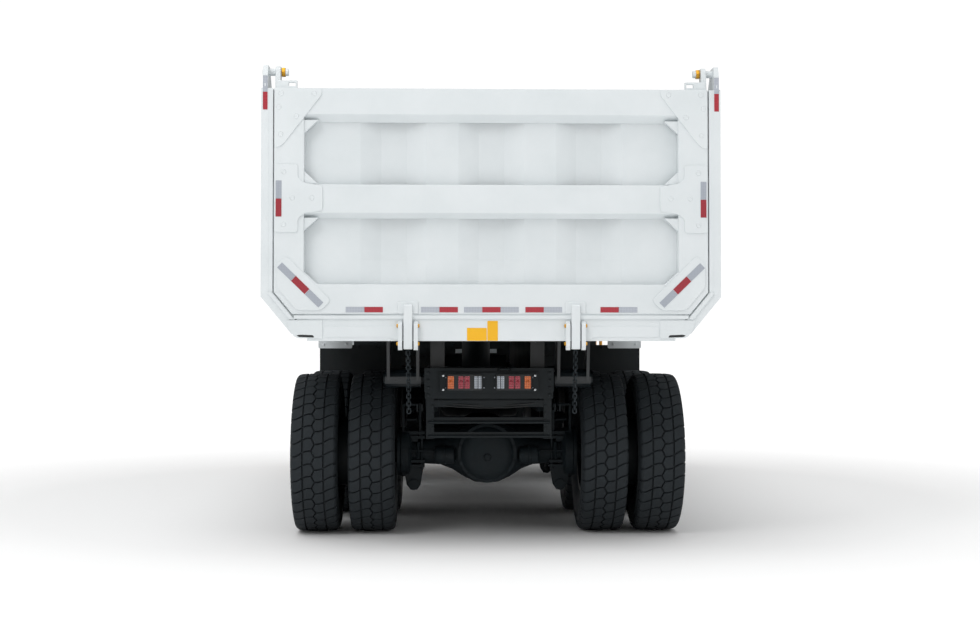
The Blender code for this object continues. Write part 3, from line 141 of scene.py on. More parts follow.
def cast_iron(name, one, other):
    """Sand-cast axle cases under black paint: a coarse grain, dull, with dust in the hollows."""
    material, tree, shader, place = finish_of(name, one, 0.6, Specular_IOR_Level=0.25)
    cloud = mottle(tree, shader, place, one, other, 150)
    sheen_range(tree, shader, cloud, 0.5, 0.75)
    grain = add(tree, "TexNoise", {"Vector": place, "Scale": per_mm(9), "Detail": 4.0})
    relief(tree, shader, grain.outputs["Fac"], 0.0012)
    return material


def vulcanised_rubber(name, one, other, grain_mm=5.0):
    """Natural rubber from a mould: deep grey, matt, a fine skin and lighter dust on it."""
    material, tree, shader, place = finish_of(name, one, 0.72, Specular_IOR_Level=0.35)
    cloud = mottle(tree, shader, place, one, other, 90)
    sheen_range(tree, shader, cloud, 0.62, 0.85)
    skin = add(tree, "TexNoise", {"Vector": place, "Scale": per_mm(grain_mm), "Detail": 3.0})
    relief(tree, shader, skin.outputs["Fac"], 0.0006)
    return material


def plated_steel(name, one, other, roughness, streak_mm):
    """Plated or drawn steel: a metal shine with fine lengthwise marks."""
    material, tree, shader, place = finish_of(name, one, roughness, metallic=1.0)
    cloud = mottle(tree, shader, place, one, other, 60)
    sheen_range(tree, shader, cloud, roughness - 0.04, roughness + 0.1)
    marks = add(tree, "TexNoise", {"Vector": place, "Scale": per_mm(streak_mm), "Detail": 2.0})
    relief(tree, shader, marks.outputs["Fac"], 0.0002)
    return material


def prismatic_tape(name, one, other):
    """Retro-reflective tape: cells under a glossy film. Real cells are 4 mm; drawn at 12 mm to show."""
    material, tree, shader, place = finish_of(name, one, 0.28, Coat_Weight=0.6, Coat_Roughness=0.08)
    cells = add(
        tree, "TexVoronoi", {"Vector": place, "Scale": per_mm(12), "Randomness": 0.0},
        feature="DISTANCE_TO_EDGE"
    )
    seam = add(tree, "MapRange", {"Value": cells.outputs["Distance"], "From Min": 0.02, "From Max": 0.12})
    mixed = add(
        tree, "Mix", {0: seam.outputs["Result"], 6: linear(other), 7: linear(one)}, data_type="RGBA"
    )
    tree.links.new(mixed.outputs[2], shader.inputs["Base Color"])
    return material


def acrylic_lens(name, colour, deep):
    """Moulded acrylic lamp lens: a bright dyed plastic, glossy, with a grid of small prisms 9 mm apart."""
    material, tree, shader, place = finish_of(name, colour, 0.14, Coat_Weight=0.5, Coat_Roughness=0.05)
    wave = add(
        tree, "TexWave", {"Vector": place, "Scale": per_mm(9) / 6.3, "Distortion": 0.0}, bands_direction="X"
    )
    ribs = add(
        tree, "TexWave", {"Vector": place, "Scale": per_mm(9) / 6.3, "Distortion": 0.0}, bands_direction="Z"
    )
    both = add(tree, "Math", {0: wave.outputs["Fac"], 1: ribs.outputs["Fac"]}, operation="MULTIPLY")
    mixed = add(tree, "Mix", {0: both.outputs[0], 6: linear(deep), 7: linear(colour)}, data_type="RGBA")
    tree.links.new(mixed.outputs[2], shader.inputs["Base Color"])
    relief(tree, shader, both.outputs[0], 0.0015)
    return material


def woven_cloth(name, one, other):
    """Hard-wearing woven seat cloth: a matt weave. Threads of 1 mm are drawn at 5 mm to show."""
    material, tree, shader, place = finish_of(name, one, 0.9, Sheen_Weight=0.3)
    warp = add(tree, "TexWave", {"Vector": place, "Scale": per_mm(5) / 6.3}, bands_direction="X")
    weft = add(tree, "TexWave", {"Vector": place, "Scale": per_mm(5) / 6.3}, bands_direction="Z")
    both = add(tree, "Math", {0: warp.outputs["Fac"], 1: weft.outputs["Fac"]}, operation="MULTIPLY")
    mixed = add(tree, "Mix", {0: both.outputs[0], 6: linear(one), 7: linear(other)}, data_type="RGBA")
    tree.links.new(mixed.outputs[2], shader.inputs["Base Color"])
    relief(tree, shader, both.outputs[0], 0.0008)
    return material


def moulded_abs(name, one, other):
    """Injection-moulded ABS: satin with a leather-like grain of 3 mm."""
    material, tree, shader, place = finish_of(name, one, 0.48)
    mottle(tree, shader, place, one, other, 200)
    grain = add(tree, "TexVoronoi", {"Vector": place, "Scale": per_mm(3)})
    relief(tree, shader, grain.outputs["Distance"], 0.0004)
    return material


def laminated_glass(name):
    """Laminated safety glass: clear with a green edge tint and a faint film of dust."""
    material, tree, shader, place = finish_of(name, "D6E6E2", 0.03, Transmission_Weight=1.0, IOR=1.5)
    film = add(tree, "TexNoise", {"Vector": place, "Scale": per_mm(240), "Detail": 6.0})
    spread = add(tree, "MapRange", {"Value": film.outputs["Fac"], "To Min": 0.02, "To Max": 0.10})
    tree.links.new(spread.outputs["Result"], shader.inputs["Roughness"])
    return material


def enamel_over_painted_shade(name, white_where):
    """White enamel above a masked line, and the chassis enamel's black on what is underneath: painted shade,
    standing in for the shade under the bed, the headboard and the deck and behind the bumper.
    """
    material = enamel(name, "DEE3E5", "D6DCDE", 0.36)
    tree = material.node_tree
    shader = tree.nodes["Principled BSDF"]
    place = add(tree, "TexCoord").outputs["Object"]
    xyz = add(tree, "SeparateXYZ", {"Vector": place})
    factor = None
    for axis, limit, above in white_where:
        mask = add(
            tree, "Math", {0: xyz.outputs[axis], 1: limit},
            operation="GREATER_THAN" if above else "LESS_THAN"
        )
        if factor is None:
            factor = mask.outputs[0]
        else:
            factor = add(tree, "Math", {0: factor, 1: mask.outputs[0]}, operation="MAXIMUM").outputs[0]
    white = shader.inputs["Base Color"].links[0].from_socket
    # the black beyond the masked line is painted shade for the undersides and the bumper's back; a cloud
    # mixes two blacks in it
    cloud = add(tree, "TexNoise", {"Vector": place, "Scale": per_mm(300), "Detail": 5.0})
    black = add(
        tree, "Mix", {0: cloud.outputs["Fac"], 6: linear("0A1216"), 7: linear("11191D")}, data_type="RGBA"
    )
    mixed = add(tree, "Mix", {0: factor, 6: black.outputs[2], 7: white}, data_type="RGBA")
    tree.links.new(mixed.outputs[2], shader.inputs["Base Color"])
    return material


WHITE = enamel("white_baked_enamel", "DEE3E5", "D6DCDE", 0.34)
CHASSIS = enamel("black_chassis_enamel", "0A1215", "0E171B", 0.52, grime="1C2224", gloss=0.02)
YELLOW = enamel("yellow_baked_enamel", "E8A20C", "DB9607", 0.36)
CAST = cast_iron("painted_cast_iron", "0D1418", "182125")
SPRING = cast_iron("painted_spring_steel", "0B1216", "141D21")
TYRE = vulcanised_rubber("tyre_natural_rubber", "191F23", "23292D")
FLAP = vulcanised_rubber("sheet_rubber", "15191B", "1E2325", 8.0)
CHROME = plated_steel("hard_chrome_plate", "C9CCCE", "B9BDC0", 0.12, 3)
ZINC = plated_steel("yellow_zinc_plate", "D2A03C", "B5842C", 0.32, 4)
GALVANISED = plated_steel("oiled_chain_steel", "3A3F42", "23282B", 0.42, 4)
RED_TAPE = prismatic_tape("red_prismatic_tape", "B22A38", "7C1C28")
GREY_TAPE = prismatic_tape("silver_prismatic_tape", "B6BBC4", "8F96A0")
AMBER_LENS = acrylic_lens("amber_acrylic", "F07A22", "B8500C")
RED_LENS = acrylic_lens("red_acrylic", "C22440", "861428")
CLEAR_LENS = acrylic_lens("clear_acrylic", "C9CFD6", "8B929B")
LABEL = enamel("yellow_vinyl", "F0B400", "E4AA00", 0.4)
CLOTH = woven_cloth("woven_polyester", "1B1D22", "30333A")
ABS = moulded_abs("black_abs", "141617", "1C1F20")
GLASS = laminated_glass("laminated_glass")
MIRROR = plated_steel("silvered_mirror", "DDE2E4", "D5DADC", 0.06, 5)


# ---- shapes ----
def angles(count, shift=0):
    """Even angles round a full turn; a shift of 0.5 starts half a step on."""
    return [2 * pi * (n + shift) / count for n in range(count)]


def span(side, low, high):
    """A range of x on the left (-1) or right (1), in order."""
    return (low, high) if side > 0 else (-high, -low)


class Shape:
    """Closed shapes gathered into one mesh. Each face keeps the number of its finish."""

    def __init__(self):
        self.mesh = bmesh.new()

    def skin(self, rings, paint=0, loop=False):
        """Faces between rings of points in order, with flat ends unless the rings close in a loop."""
        rows = [[self.mesh.verts.new(point) for point in ring] for ring in rings]
        pairs = list(zip(rows, rows[1:])) + ([(rows[-1], rows[0])] if loop else [])
        faces = []
        for one, other in pairs:
            for i in range(len(one)):
                j = (i + 1) % len(one)
                faces.append(self.mesh.faces.new((one[i], one[j], other[j], other[i])))
        if not loop:
            faces += [self.mesh.faces.new(rows[0][::-1]), self.mesh.faces.new(rows[-1])]
        for face in faces:
            face.material_index = paint

    def prism(self, across, low, high, outline, paint=0):
        """An outline pushed from low to high along one axis."""
        turn = {"X": (2, 0, 1), "Y": (0, 2, 1), "Z": (0, 1, 2)}[across]
        rings = [[tuple((u, v, w)[i] for i in turn) for u, v in outline] for w in (low, high)]
        self.skin(rings, paint)

    def block(self, x, y, z, paint=0):
        """A box between two values of x, y and z."""
        self.prism("Z", *z, [(x[0], y[0]), (x[1], y[0]), (x[1], y[1]), (x[0], y[1])], paint)

    def turned(self, profile, centre, axis="X", steps=48, paint=0, loop=False, side=1):
        """(radius, along) points turned about an axis through a centre; side -1 turns along round."""
        turn = {"X": (2, 0, 1), "Y": (0, 2, 1), "Z": (0, 1, 2)}[axis]
        rings = []
        for radius, along in profile:
            radius = max(radius, 0.0005)
            ring = []
            for t in angles(steps):
                local = (radius * cos(t), radius * sin(t), side * along)
                ring.append(tuple(centre[k] + local[turn[k]] for k in range(3)))
            rings.append(ring)
        self.skin(rings, paint, loop=loop)

    def pipe(self, points, radius, sides=12, paint=0, loop=False):
        """A round bar along points."""
        points = [Vector(p) for p in points]
        count = len(points)
        rings = []
        normal = None
        for i, point in enumerate(points):
            ahead = points[(i + 1) % count] if loop or i < count - 1 else point
            behind = points[i - 1] if loop or i else point
            along = (ahead - behind).normalized()
            if normal is None:
                normal = along.orthogonal().normalized()
            normal = (normal - along * normal.dot(along)).normalized()
            other = along.cross(normal)
            ring = [
                point + (normal * cos(t) + other * sin(t)) * radius
                for t in angles(sides)
            ]
            rings.append(ring)
        self.skin(rings, paint, loop=loop)

    def bolt(self, at, along, radius, paint=0, washer=True, height=0.6):
        """A hexagon head on a round washer, facing along."""
        along = Vector(along).normalized()
        side = along.orthogonal().normalized()
        other = along.cross(side)

        def ring(size, lift, count):
            middle = Vector(at)
            return [middle + (side * cos(t) + other * sin(t)) * size + along * lift for t in angles(count)]

        base = 0.0
        if washer:
            base = radius * 0.22
            sizes = ((1.25, -radius * 0.3), (1.25, base * 0.8), (1.15, base))
            self.skin([ring(radius * size, lift, 16) for size, lift in sizes], paint)
        top = base + radius * height
        self.skin(
            [ring(radius, -radius * 0.2, 6), ring(radius, top * 0.92, 6), ring(radius * 0.88, top, 6)],
            paint
        )

    def dome(self, centre, radius, height, axis="Y", sign=-1, steps=24, rows=5, paint=0):
        """A shallow round cap standing on a plane across an axis."""
        profile = [(radius, 0.0)]
        profile += [
            (radius * cos(pi / 2 * n / rows), sign * height * sin(pi / 2 * n / rows))
            for n in range(rows)
        ]
        profile += [(0.0, sign * height)]
        self.turned([(radius, -sign * height * 0.3)] + profile, centre, axis, steps, paint)

    def done(self, name, body, paints, bevel=0.0, stands_for=(), sharp=35, segments=2, turn=38):
        """The finished piece, riding on its body."""
        bmesh.ops.recalc_face_normals(self.mesh, faces=self.mesh.faces)
        data = bpy.data.meshes.new(name)
        self.mesh.to_mesh(data)
        self.mesh.free()
        for paint in paints if isinstance(paints, (list, tuple)) else [paints]:
            data.materials.append(paint)
        data.shade_smooth()
        data.set_sharp_from_angle(angle=radians(sharp))
        piece = bpy.data.objects.new(name, data)
        bpy.context.scene.collection.objects.link(piece)
        if bevel:
            edges = piece.modifiers.new("edges", "BEVEL")
            edges.width = bevel
            edges.segments = segments
            edges.limit_method = "ANGLE"
            edges.angle_limit = radians(turn)
            edges.harden_normals = True
        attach(piece, body)
        if stands_for:
            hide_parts(*stands_for)
        return piece


def rounded(corners, radius=0.02, steps=4):
    """An outline with its corners rounded."""
    points = []
    count = len(corners)
    for i in range(count):
        here = Vector(corners[i])
        before, after = Vector(corners[i - 1]), Vector(corners[(i + 1) % count])
        reach_a = min(radius, (before - here).length * 0.45)
        reach_b = min(radius, (after - here).length * 0.45)
        a = here + (before - here).normalized() * reach_a
        b = here + (after - here).normalized() * reach_b
        for n in range(steps + 1):
            t = n / steps
            points.append(tuple(a * (1 - t) ** 2 + here * 2 * t * (1 - t) + b * t**2))
    return points


def mirrored(outline, side):
    """An outline for the right-hand side (1), or its mirror image for the left (-1)."""
    return outline if side > 0 else [(-u, v) for u, v in outline[::-1]]


def upright(x, z):
    """A rectangle across x and z."""
    return [(x[0], z[0]), (x[1], z[0]), (x[1], z[1]), (x[0], z[1])]


def panel(x, z, radius, steps=4):
    """A rectangle across x and z with round corners."""
    return rounded(upright(x, z), radius, steps)


def at_depth(outline, y):
    """An outline across x and z, as points at one y."""
    return [(u, y, v) for u, v in outline]


# ---- the CAD nodes that stay, each in its own finish ----
# each is white above or in front of its line and black below or behind it: painted shade for the undersides
# of the bed floor, headboard and deck, and the back of the bumper
BED_PAINT = enamel_over_painted_shade(
    "bed_enamel_and_painted_shade", [("Z", 1.7755, True), ("Y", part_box("bed_floor")[0].y + 0.175, False)]
)
DECK_PAINT = enamel_over_painted_shade("deck_enamel_and_painted_shade", [("Z", 1.502, True)])
BUMPER_PAINT = enamel_over_painted_shade("bumper_enamel_and_painted_shade", [("Y", 4.32, True)])
HEAD_PAINT = enamel_over_painted_shade("headboard_enamel_and_painted_shade", [("Z", 1.83, True)])
KEPT = {
    WHITE: "bed_side_left bed_side_right bed_canopy radiator_housing cab_shell cab_door "
    "tailgate_frame tailgate_panel front_rim_left front_rim_right",
    BED_PAINT: "bed_floor",
    HEAD_PAINT: "bed_headboard",
    DECK_PAINT: "front_deck",
    BUMPER_PAINT: "front_bumper",
    CHASSIS: "main_frame lamp_panel underrun_guard battery_box fuel_tank hydraulic_tank "
    "propeller_shaft interaxle_shaft hoist_barrel air_cleaner",
    CAST: "rear_axle middle_axle front_axle engine_block steering_knuckle_left "
    "steering_knuckle_right tie_rod",
    SPRING: "balance_suspension",
    YELLOW: "deck_railing access_ladder",
    GLASS: "cab_side_glass cab_rear_glass windscreen cab_door_glass",
    ABS: "dashboard mirror_left mirror_right",
    CLOTH: "driver_seat",
    CHROME: "hoist_stage_1 hoist_stage_2 hoist_stage_3",
    TYRE: "front_tyre_left front_tyre_right middle_wheels_left middle_wheels_right "
    "rear_wheels_left rear_wheels_right",
    FLAP: "mudflap_left mudflap_right",
}
for material, names in KEPT.items():
    for name in names.split():
        data = NODES[name].data
        data.materials.clear()
        data.materials.append(material)

# ---- wheels ----
low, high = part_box("rear_wheels_right")
AXLE_Z = (low.z + high.z) / 2
TREAD_RADIUS = AXLE_Z
REAR_AXLE_Y = (low.y + high.y) / 2
low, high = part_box("middle_wheels_right")
MIDDLE_AXLE_Y = (low.y + high.y) / 2
low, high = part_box("front_tyre_right")
FRONT_AXLE_Y = (low.y + high.y) / 2
FRONT_WHEEL_X = (low.x + high.x) / 2
TWIN_IN, TWIN_OUT = 0.9725, 1.4475
HALF_TREAD = 0.175
RIM = 0.335
PITCHES = 40
PITCH = 2 * pi * TREAD_RADIUS / PITCHES
TREAD_DEPTH = 0.022
GROOVE = 0.0060  # from a block's edge to the middle of its groove
STUDS = 10
LUG = ((0.158, 0.012), (0.1745, 0.0185), (0.183, 0.030), (0.1895, 0.062), (0.181, 0.066), (0.158, 0.042))
# half a pattern, in metres across and in pitches round: a zigzag middle, then grooves that sweep out in an S
CENTRE_BLOCK = [
    (0.013, 0.0), (-0.013, 0.5), (0.013, 1.0), (0.050, 1.02), (0.086, 1.14), (0.086, 0.14), (0.050, 0.02)
]
SHOULDER_BLOCK = [
    (0.086, 0.14), (0.086, 1.14), (0.112, 1.30), (0.142, 1.44), (0.175, 1.50), (0.175, 0.50), (0.142, 0.44),
    (0.112, 0.30)
]


def crown(u):
    """The tread's radius at a distance from the tyre's middle."""
    ratio = min(1.0, abs(u) / HALF_TREAD)
    return TREAD_RADIUS - 0.007 * ratio**2 - 0.012 * max(0.0, (ratio - 0.86) / 0.14) ** 2


def inset(outline, distance):
    """An outline moved in by a distance, edge by edge."""
    points = [Vector(p) for p in outline]
    count = len(points)
    turn = sum(points[i - 1].x * points[i].y - points[i].x * points[i - 1].y for i in range(count))
    sign = 1 if turn > 0 else -1
    moved = []
    for i, here in enumerate(points):
        one = (here - points[i - 1]).normalized()
        other = (points[(i + 1) % count] - here).normalized()
        n1 = Vector((-one.y, one.x)) * sign
        n2 = Vector((-other.y, other.x)) * sign
        middle = (n1 + n2).normalized()
        moved.append(here + middle * distance / max(0.4, middle.dot(n1)))
    return moved


def tread_block(shape, centre, outline, offset, turned_over, paint):
    """One rubber block with a narrow chamfer, set on the carcass at an angle."""
    flat = [(u, v * PITCH) for u, v in outline]
    rings = []
    for lift, distance in ((-TREAD_DEPTH - 0.003, GROOVE * 0.6), (-0.0022, GROOVE), (0.0, GROOVE + 0.0022)):
        ring = []
        for u, v in inset(flat, distance):
            if turned_over:
                u, v = -u, -v
            radius = crown(u) + lift
            t = v / TREAD_RADIUS + offset * 2 * pi / PITCHES
            ring.append((centre[0] + u, centre[1] + radius * sin(t), centre[2] + radius * cos(t)))
        rings.append(ring)
    shape.skin(rings, paint)


def tyre(shape, x, y, paint=0):
    """Carcass, bead and bulging sides, with staggered blocks and shoulder lugs."""
    bead, base = RIM + 0.001, TREAD_RADIUS - TREAD_DEPTH
    half = [
        (bead, 0.139), (bead + 0.014, 0.156), (0.365, 0.160), (0.385, 0.172), (0.43, 0.186), (0.475, 0.191),
        (0.515, 0.1925), (0.548, 0.1915)
    ]
    half += [
        (0.552, 0.1945), (0.560, 0.1945), (0.564, 0.189), (0.60, 0.184), (base - 0.018, 0.177),
        (base - 0.004, 0.168), (base, 0.150), (base + 0.002, 0.075)
    ]
    profile = half + [(r, -a) for r, a in reversed(half)]
    shape.turned(profile, (x, y, AXLE_Z), "X", 84, paint, loop=True)
    centre = (x, y, AXLE_Z)
    for n in range(PITCHES):
        for turned_over, offset in ((False, n), (True, n + 0.5)):
            tread_block(shape, centre, CENTRE_BLOCK, offset, turned_over, paint)
            tread_block(shape, centre, SHOULDER_BLOCK, offset, turned_over, paint)
            # the lug that runs on down the tyre's side
            side = -1 if turned_over else 1
            rings = []
            for v in (-0.40, 0.0, 0.40):
                t = (offset + side + v) * 2 * pi / PITCHES
                ring = []
                for u, depth in LUG:
                    radius = TREAD_RADIUS - depth
                    ring.append((x + side * u, y + radius * sin(t), AXLE_Z + radius * cos(t)))
                rings.append(ring)
            shape.skin(rings, paint)


def rim_band(shape, x, y, paint):
    """The rim under one tyre, with its two flanges and lock ring."""
    half = 0.1386
    profile = [
        (RIM, half), (RIM + 0.010, half + 0.004), (RIM + 0.016, half + 0.012), (RIM + 0.012, half + 0.020),
        (RIM - 0.012, half + 0.016), (0.318, half), (0.300, 0.09)
    ]
    profile = profile + [(r, -a) for r, a in reversed(profile)]
    inner = [(0.290, -0.085), (0.290, 0.085)]
    shape.turned(profile + inner, (x, y, AXLE_Z), "X", 64, paint, loop=True)


def wheel_disc(shape, x, y, side, depth, paint, bolts_paint):
    """The dished disc with hand holes and its ring of nuts."""
    outer, inner, hole_in, hole_out = 0.296, 0.120, 0.192, 0.252
    face = x + side * depth
    # the disc's rim and its middle, as two cones with the spokes between them
    for r0, r1, x0, x1 in (
        (hole_out, outer, x + side * 0.01, face - side * 0.012),
        (inner, hole_in, face - side * 0.004, face - side * 0.004)
    ):
        profile = [(r1, x0 - x), (r0, x1 - x), (r0, x1 - x - side * 0.014), (r1, x0 - x - side * 0.014)]
        shape.turned(profile, (x, y, AXLE_Z), "X", 64, paint, loop=True)
    for n in range(STUDS):
        t0, t1 = 2 * pi * (n - 0.21) / STUDS, 2 * pi * (n + 0.21) / STUDS
        rings = []
        for r, back in ((hole_in - 0.004, 0.004), (hole_out + 0.004, 0.012)):
            ring = []
            for t, lift in ((t0, 0), (t1, 0), (t1, 0.014), (t0, 0.014)):
                ring.append((face - side * (back + lift), y + r * sin(t), AXLE_Z + r * cos(t)))
            rings.append(ring)
        shape.skin(rings, paint)
    for t in angles(STUDS, 0.5):
        shape.bolt(
            (face - side * 0.004, y + 0.165 * sin(t), AXLE_Z + 0.165 * cos(t)), (side, 0, 0), 0.017,
            bolts_paint, height=1.1
        )


def twin_pair(name, side, y):
    """Two tyres on one hub: tyres, rims, disc and the hub reduction case."""
    shape = Shape()
    for x in (TWIN_IN, TWIN_OUT):
        tyre(shape, side * x, y)
    shape.done(f"{name}_tyres", name, TYRE, stands_for=(name,), sharp=28)
    rims = Shape()
    for x in (TWIN_IN, TWIN_OUT):
        rim_band(rims, side * x, y, 0)
    wheel_disc(rims, side * TWIN_OUT, y, side, -0.06, 0, 1)
    middle = side * 1.21
    case = [
        (0.0, 0.355), (0.060, 0.350), (0.088, 0.338), (0.100, 0.320), (0.118, 0.312), (0.150, 0.300),
        (0.160, 0.285), (0.160, 0.20), (0.152, 0.19), (0.152, -0.03), (0.0, -0.03)
    ]
    rims.turned(case, (middle, y, AXLE_Z), "X", 48, 2, side=side)
    spacer = [(0.286, 0.13), (0.292, 0.12), (0.292, -0.12), (0.286, -0.13), (0.240, -0.13), (0.240, 0.13)]
    rims.turned(spacer, (middle, y, AXLE_Z), "X", 48, 0, loop=True)
    for t in angles(12):
        rims.bolt(
            (middle + side * 0.306, y + 0.128 * sin(t), AXLE_Z + 0.128 * cos(t)), (side, 0, 0), 0.010, 1
        )
    rims.done(f"{name}_rims", name, [CHASSIS, GALVANISED, CAST], sharp=38)


for side_name, side in SIDES.items():
    twin_pair(f"rear_wheels_{side_name}", side, REAR_AXLE_Y)
    twin_pair(f"middle_wheels_{side_name}", side, MIDDLE_AXLE_Y)
    body = f"front_wheel_{side_name}"
    rubber = Shape()
    tyre(rubber, side * FRONT_WHEEL_X, FRONT_AXLE_Y)
    rubber.done(
        f"front_tread_{side_name}", body, TYRE, stands_for=(f"front_tyre_{side_name}",),
        sharp=28
    )
    rims = Shape()
    x = side * FRONT_WHEEL_X
    rim_band(rims, x, FRONT_AXLE_Y, 0)
    wheel_disc(rims, x, FRONT_AXLE_Y, side, 0.075, 0, 1)
    hub = [
        (0.0, 0.168), (0.070, 0.166), (0.086, 0.156), (0.090, 0.12), (0.124, 0.105), (0.130, 0.06),
        (0.130, -0.05), (0.0, -0.05)
    ]
    rims.turned(hub, (x, FRONT_AXLE_Y, AXLE_Z), "X", 40, 2, side=side)
    drum = [(0.262, -0.02), (0.262, -0.13), (0.245, -0.138), (0.235, -0.138), (0.235, -0.02)]
    rims.turned(drum, (x, FRONT_AXLE_Y, AXLE_Z), "X", 40, 2, loop=True, side=side)
    rims.done(
        f"front_rim_disc_{side_name}", body, [CHASSIS, GALVANISED, CAST],
        stands_for=(f"front_rim_{side_name}",), sharp=38
    )


# ---- tailgate ----
TAIL_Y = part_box("bed_side_left")[0].y
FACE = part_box("tailgate_frame")[0].y + 0.046
GATE_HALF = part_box("tailgate_frame")[1].x
GATE_TOP = 3.58
GATE_LOW = 1.835
KNEE = (GATE_HALF, 2.006)
FOOT_X = 1.5335
INSIDE = FACE + 0.09
PIN_Z = 3.715
POST = GATE_HALF - 0.23
LOCK_X = 0.645


def beam(shape, ends, top, bottom, flange):
    """A pressed channel: its upper flange level, its lower one leaning down to the sheet."""
    outline = [(FACE, bottom), (FACE, top), (INSIDE, top + 0.004), (INSIDE, bottom - flange)]
    shape.prism("X", *ends, outline)


def gate_frame():
    """Posts with slanted feet, three rails, hinge arms, lock arms and the corner brackets."""
    shape = Shape()
    for side in SIDES.values():
        outline = [(POST, GATE_LOW), (FOOT_X, GATE_LOW), KNEE, (GATE_HALF, GATE_TOP), (POST, GATE_TOP)]
        shape.prism("Y", FACE, INSIDE, mirrored(outline, side))
        # the arm that hangs the gate on its pin
        edge = side * (GATE_HALF - 0.024)
        arm = [
            (FACE + 0.02, GATE_TOP - 0.05), (FACE + 0.07, GATE_TOP - 0.05), (FACE + 0.15, 3.70),
            (FACE + 0.148, 3.735), (FACE + 0.13, 3.758), (FACE + 0.07, 3.758), (FACE + 0.045, 3.735),
            (FACE + 0.04, 3.70)
        ]
        shape.prism("X", edge - 0.02, edge + 0.02, arm)
        # lock arm and the doubler plate behind it
        arm_x = (side * LOCK_X - 0.034, side * LOCK_X + 0.034)
        shape.block(
            (arm_x[0] - 0.045, arm_x[1] + 0.045), (FACE - 0.012, FACE + 0.01),
            (GATE_LOW + 0.003, GATE_LOW + 0.098)
        )
        lock = [
            (FACE - 0.010, GATE_LOW + 0.08), (FACE - 0.044, GATE_LOW + 0.07), (FACE - 0.046, 1.60),
            (FACE - 0.036, 1.566), (FACE - 0.012, 1.566), (FACE - 0.010, 1.60)
        ]
        shape.prism("X", *arm_x, lock)
        # slotted bracket on top of the corner
        bracket = [
            ((1.500, 1.665), (3.622, 3.640)), ((1.500, 1.665), (GATE_TOP - 0.01, 3.596)),
            ((1.500, 1.512), (3.59, 3.63)), ((1.565, 1.665), (3.59, 3.63))
        ]
        for x, z in bracket:
            shape.block(span(side, *x), (FACE + 0.015, FACE + 0.045), z)
    between = (-POST - 0.004, POST + 0.004)
    beam(shape, between, GATE_TOP - 0.001, 3.377, 0.054)
    beam(shape, between, 2.835, 2.615, 0.038)
    beam(shape, between, 2.066, GATE_LOW + 0.001, -0.004)
    # triangles in the corners of the two recessed fields
    for side in SIDES.values():
        for x, z, up in ((POST, 3.335, -1), (POST, 2.838, 1), (POST, 2.580, -1)):
            outline = mirrored([(x - 0.11, z), (x + 0.01, z), (x + 0.01, z + up * 0.11)], side)
            shape.prism("Y", FACE + 0.012, FACE + 0.06, outline)
        brace = [(POST - 0.112, 2.060), (POST + 0.01, 2.060), (POST + 0.01, 2.172)]
        shape.prism("Y", FACE + 0.002, FACE + 0.075, mirrored(brace, side))
    shape.done(
        "tailgate_beams", "tailgate", WHITE, bevel=0.006, stands_for=("tailgate_frame",)
    )


def gate_sheet():
    """The pressed sheet: three grooves that run out on sloping feet."""
    rows = [
        (GATE_LOW + 0.012, 0.0), (2.077, 0.0), (2.262, 1.0), (2.60, 1.0), (2.83, 1.0),
        (GATE_TOP - 0.032, 1.0)
    ]
    line = [(-1.655, 0.0)]
    for number in (-1, 0, 1):
        middle = number * 0.76
        line += [(middle - 0.255, 0.0), (middle - 0.10, 0.05), (middle + 0.10, 0.05), (middle + 0.255, 0.0)]
    line += [(1.655, 0.0)]
    rings = []
    for z, depth in rows:
        reach = min(1.655, FOOT_X - 0.01 + max(0.0, z - GATE_LOW) * 0.24 / 0.29)
        near = [(max(-reach, min(reach, x)), INSIDE + 0.001 + y * depth, z) for x, y in line]
        far = [(x, y + 0.010, z) for x, y, _ in reversed(near)]
        rings.append(near + far)
    shape = Shape()
    shape.skin(rings)
    shape.done(
        "tailgate_sheet", "tailgate", WHITE, bevel=0.012, stands_for=("tailgate_panel",),
        segments=3, sharp=8, turn=6
    )


def plug_weld(shape, x, z, y, paint=0):
    """A dished plug weld in a doubler plate."""
    profile = [(0.020, 0.004), (0.020, -0.0015), (0.016, -0.0025), (0.011, 0.0), (0.0, 0.0012)]
    shape.turned(profile, (x, y, z), "Y", 20, paint)


def gate_plates():
    """Doubler plates over the frame's corners and joints."""
    shape = Shape()
    plate_y = (FACE - 0.009, FACE + 0.004)
    for side in SIDES.values():
        edge = GATE_HALF - 0.003
        top = rounded(
            [
                (1.312, GATE_TOP - 0.006), (1.308, 3.530), (1.600, 3.150), (1.640, 3.120), (edge, 3.120),
                (edge, GATE_TOP - 0.006)
            ],
            0.02
        )
        tee = rounded(
            [
                (1.302, 2.825), (1.302, 2.632), (1.44, 2.612), (1.492, 2.570), (1.492, 2.465),
                (edge, 2.465), (edge, 2.990), (1.492, 2.990), (1.492, 2.885), (1.44, 2.845)
            ],
            0.022
        )
        low = rounded(
            [
                (1.236, 1.942), (1.310, 1.866), (1.500, 1.866), (edge - 0.02, 2.045), (edge - 0.02, 2.215),
                (1.585, 2.290)
            ],
            0.035
        )
        for outline in (top, tee, low):
            shape.prism("Y", *plate_y, mirrored(outline, side))
        for x, z in (
            (1.62, 3.535), (1.37, 3.535), (1.64, 3.43), (1.625, 3.22), (1.505, 3.36), (1.60, 2.93),
            (1.60, 2.525), (1.385, 2.73), (1.535, 2.73)
        ):
            plug_weld(shape, side * x, z, plate_y[0])
    shape.done("tailgate_doublers", "tailgate", WHITE, bevel=0.003)


def tape(shape, corners, y, paint):
    """A strip of reflective film on a face that looks backwards."""
    shape.prism("Y", y - 0.0015, y + 0.0006, corners, paint)


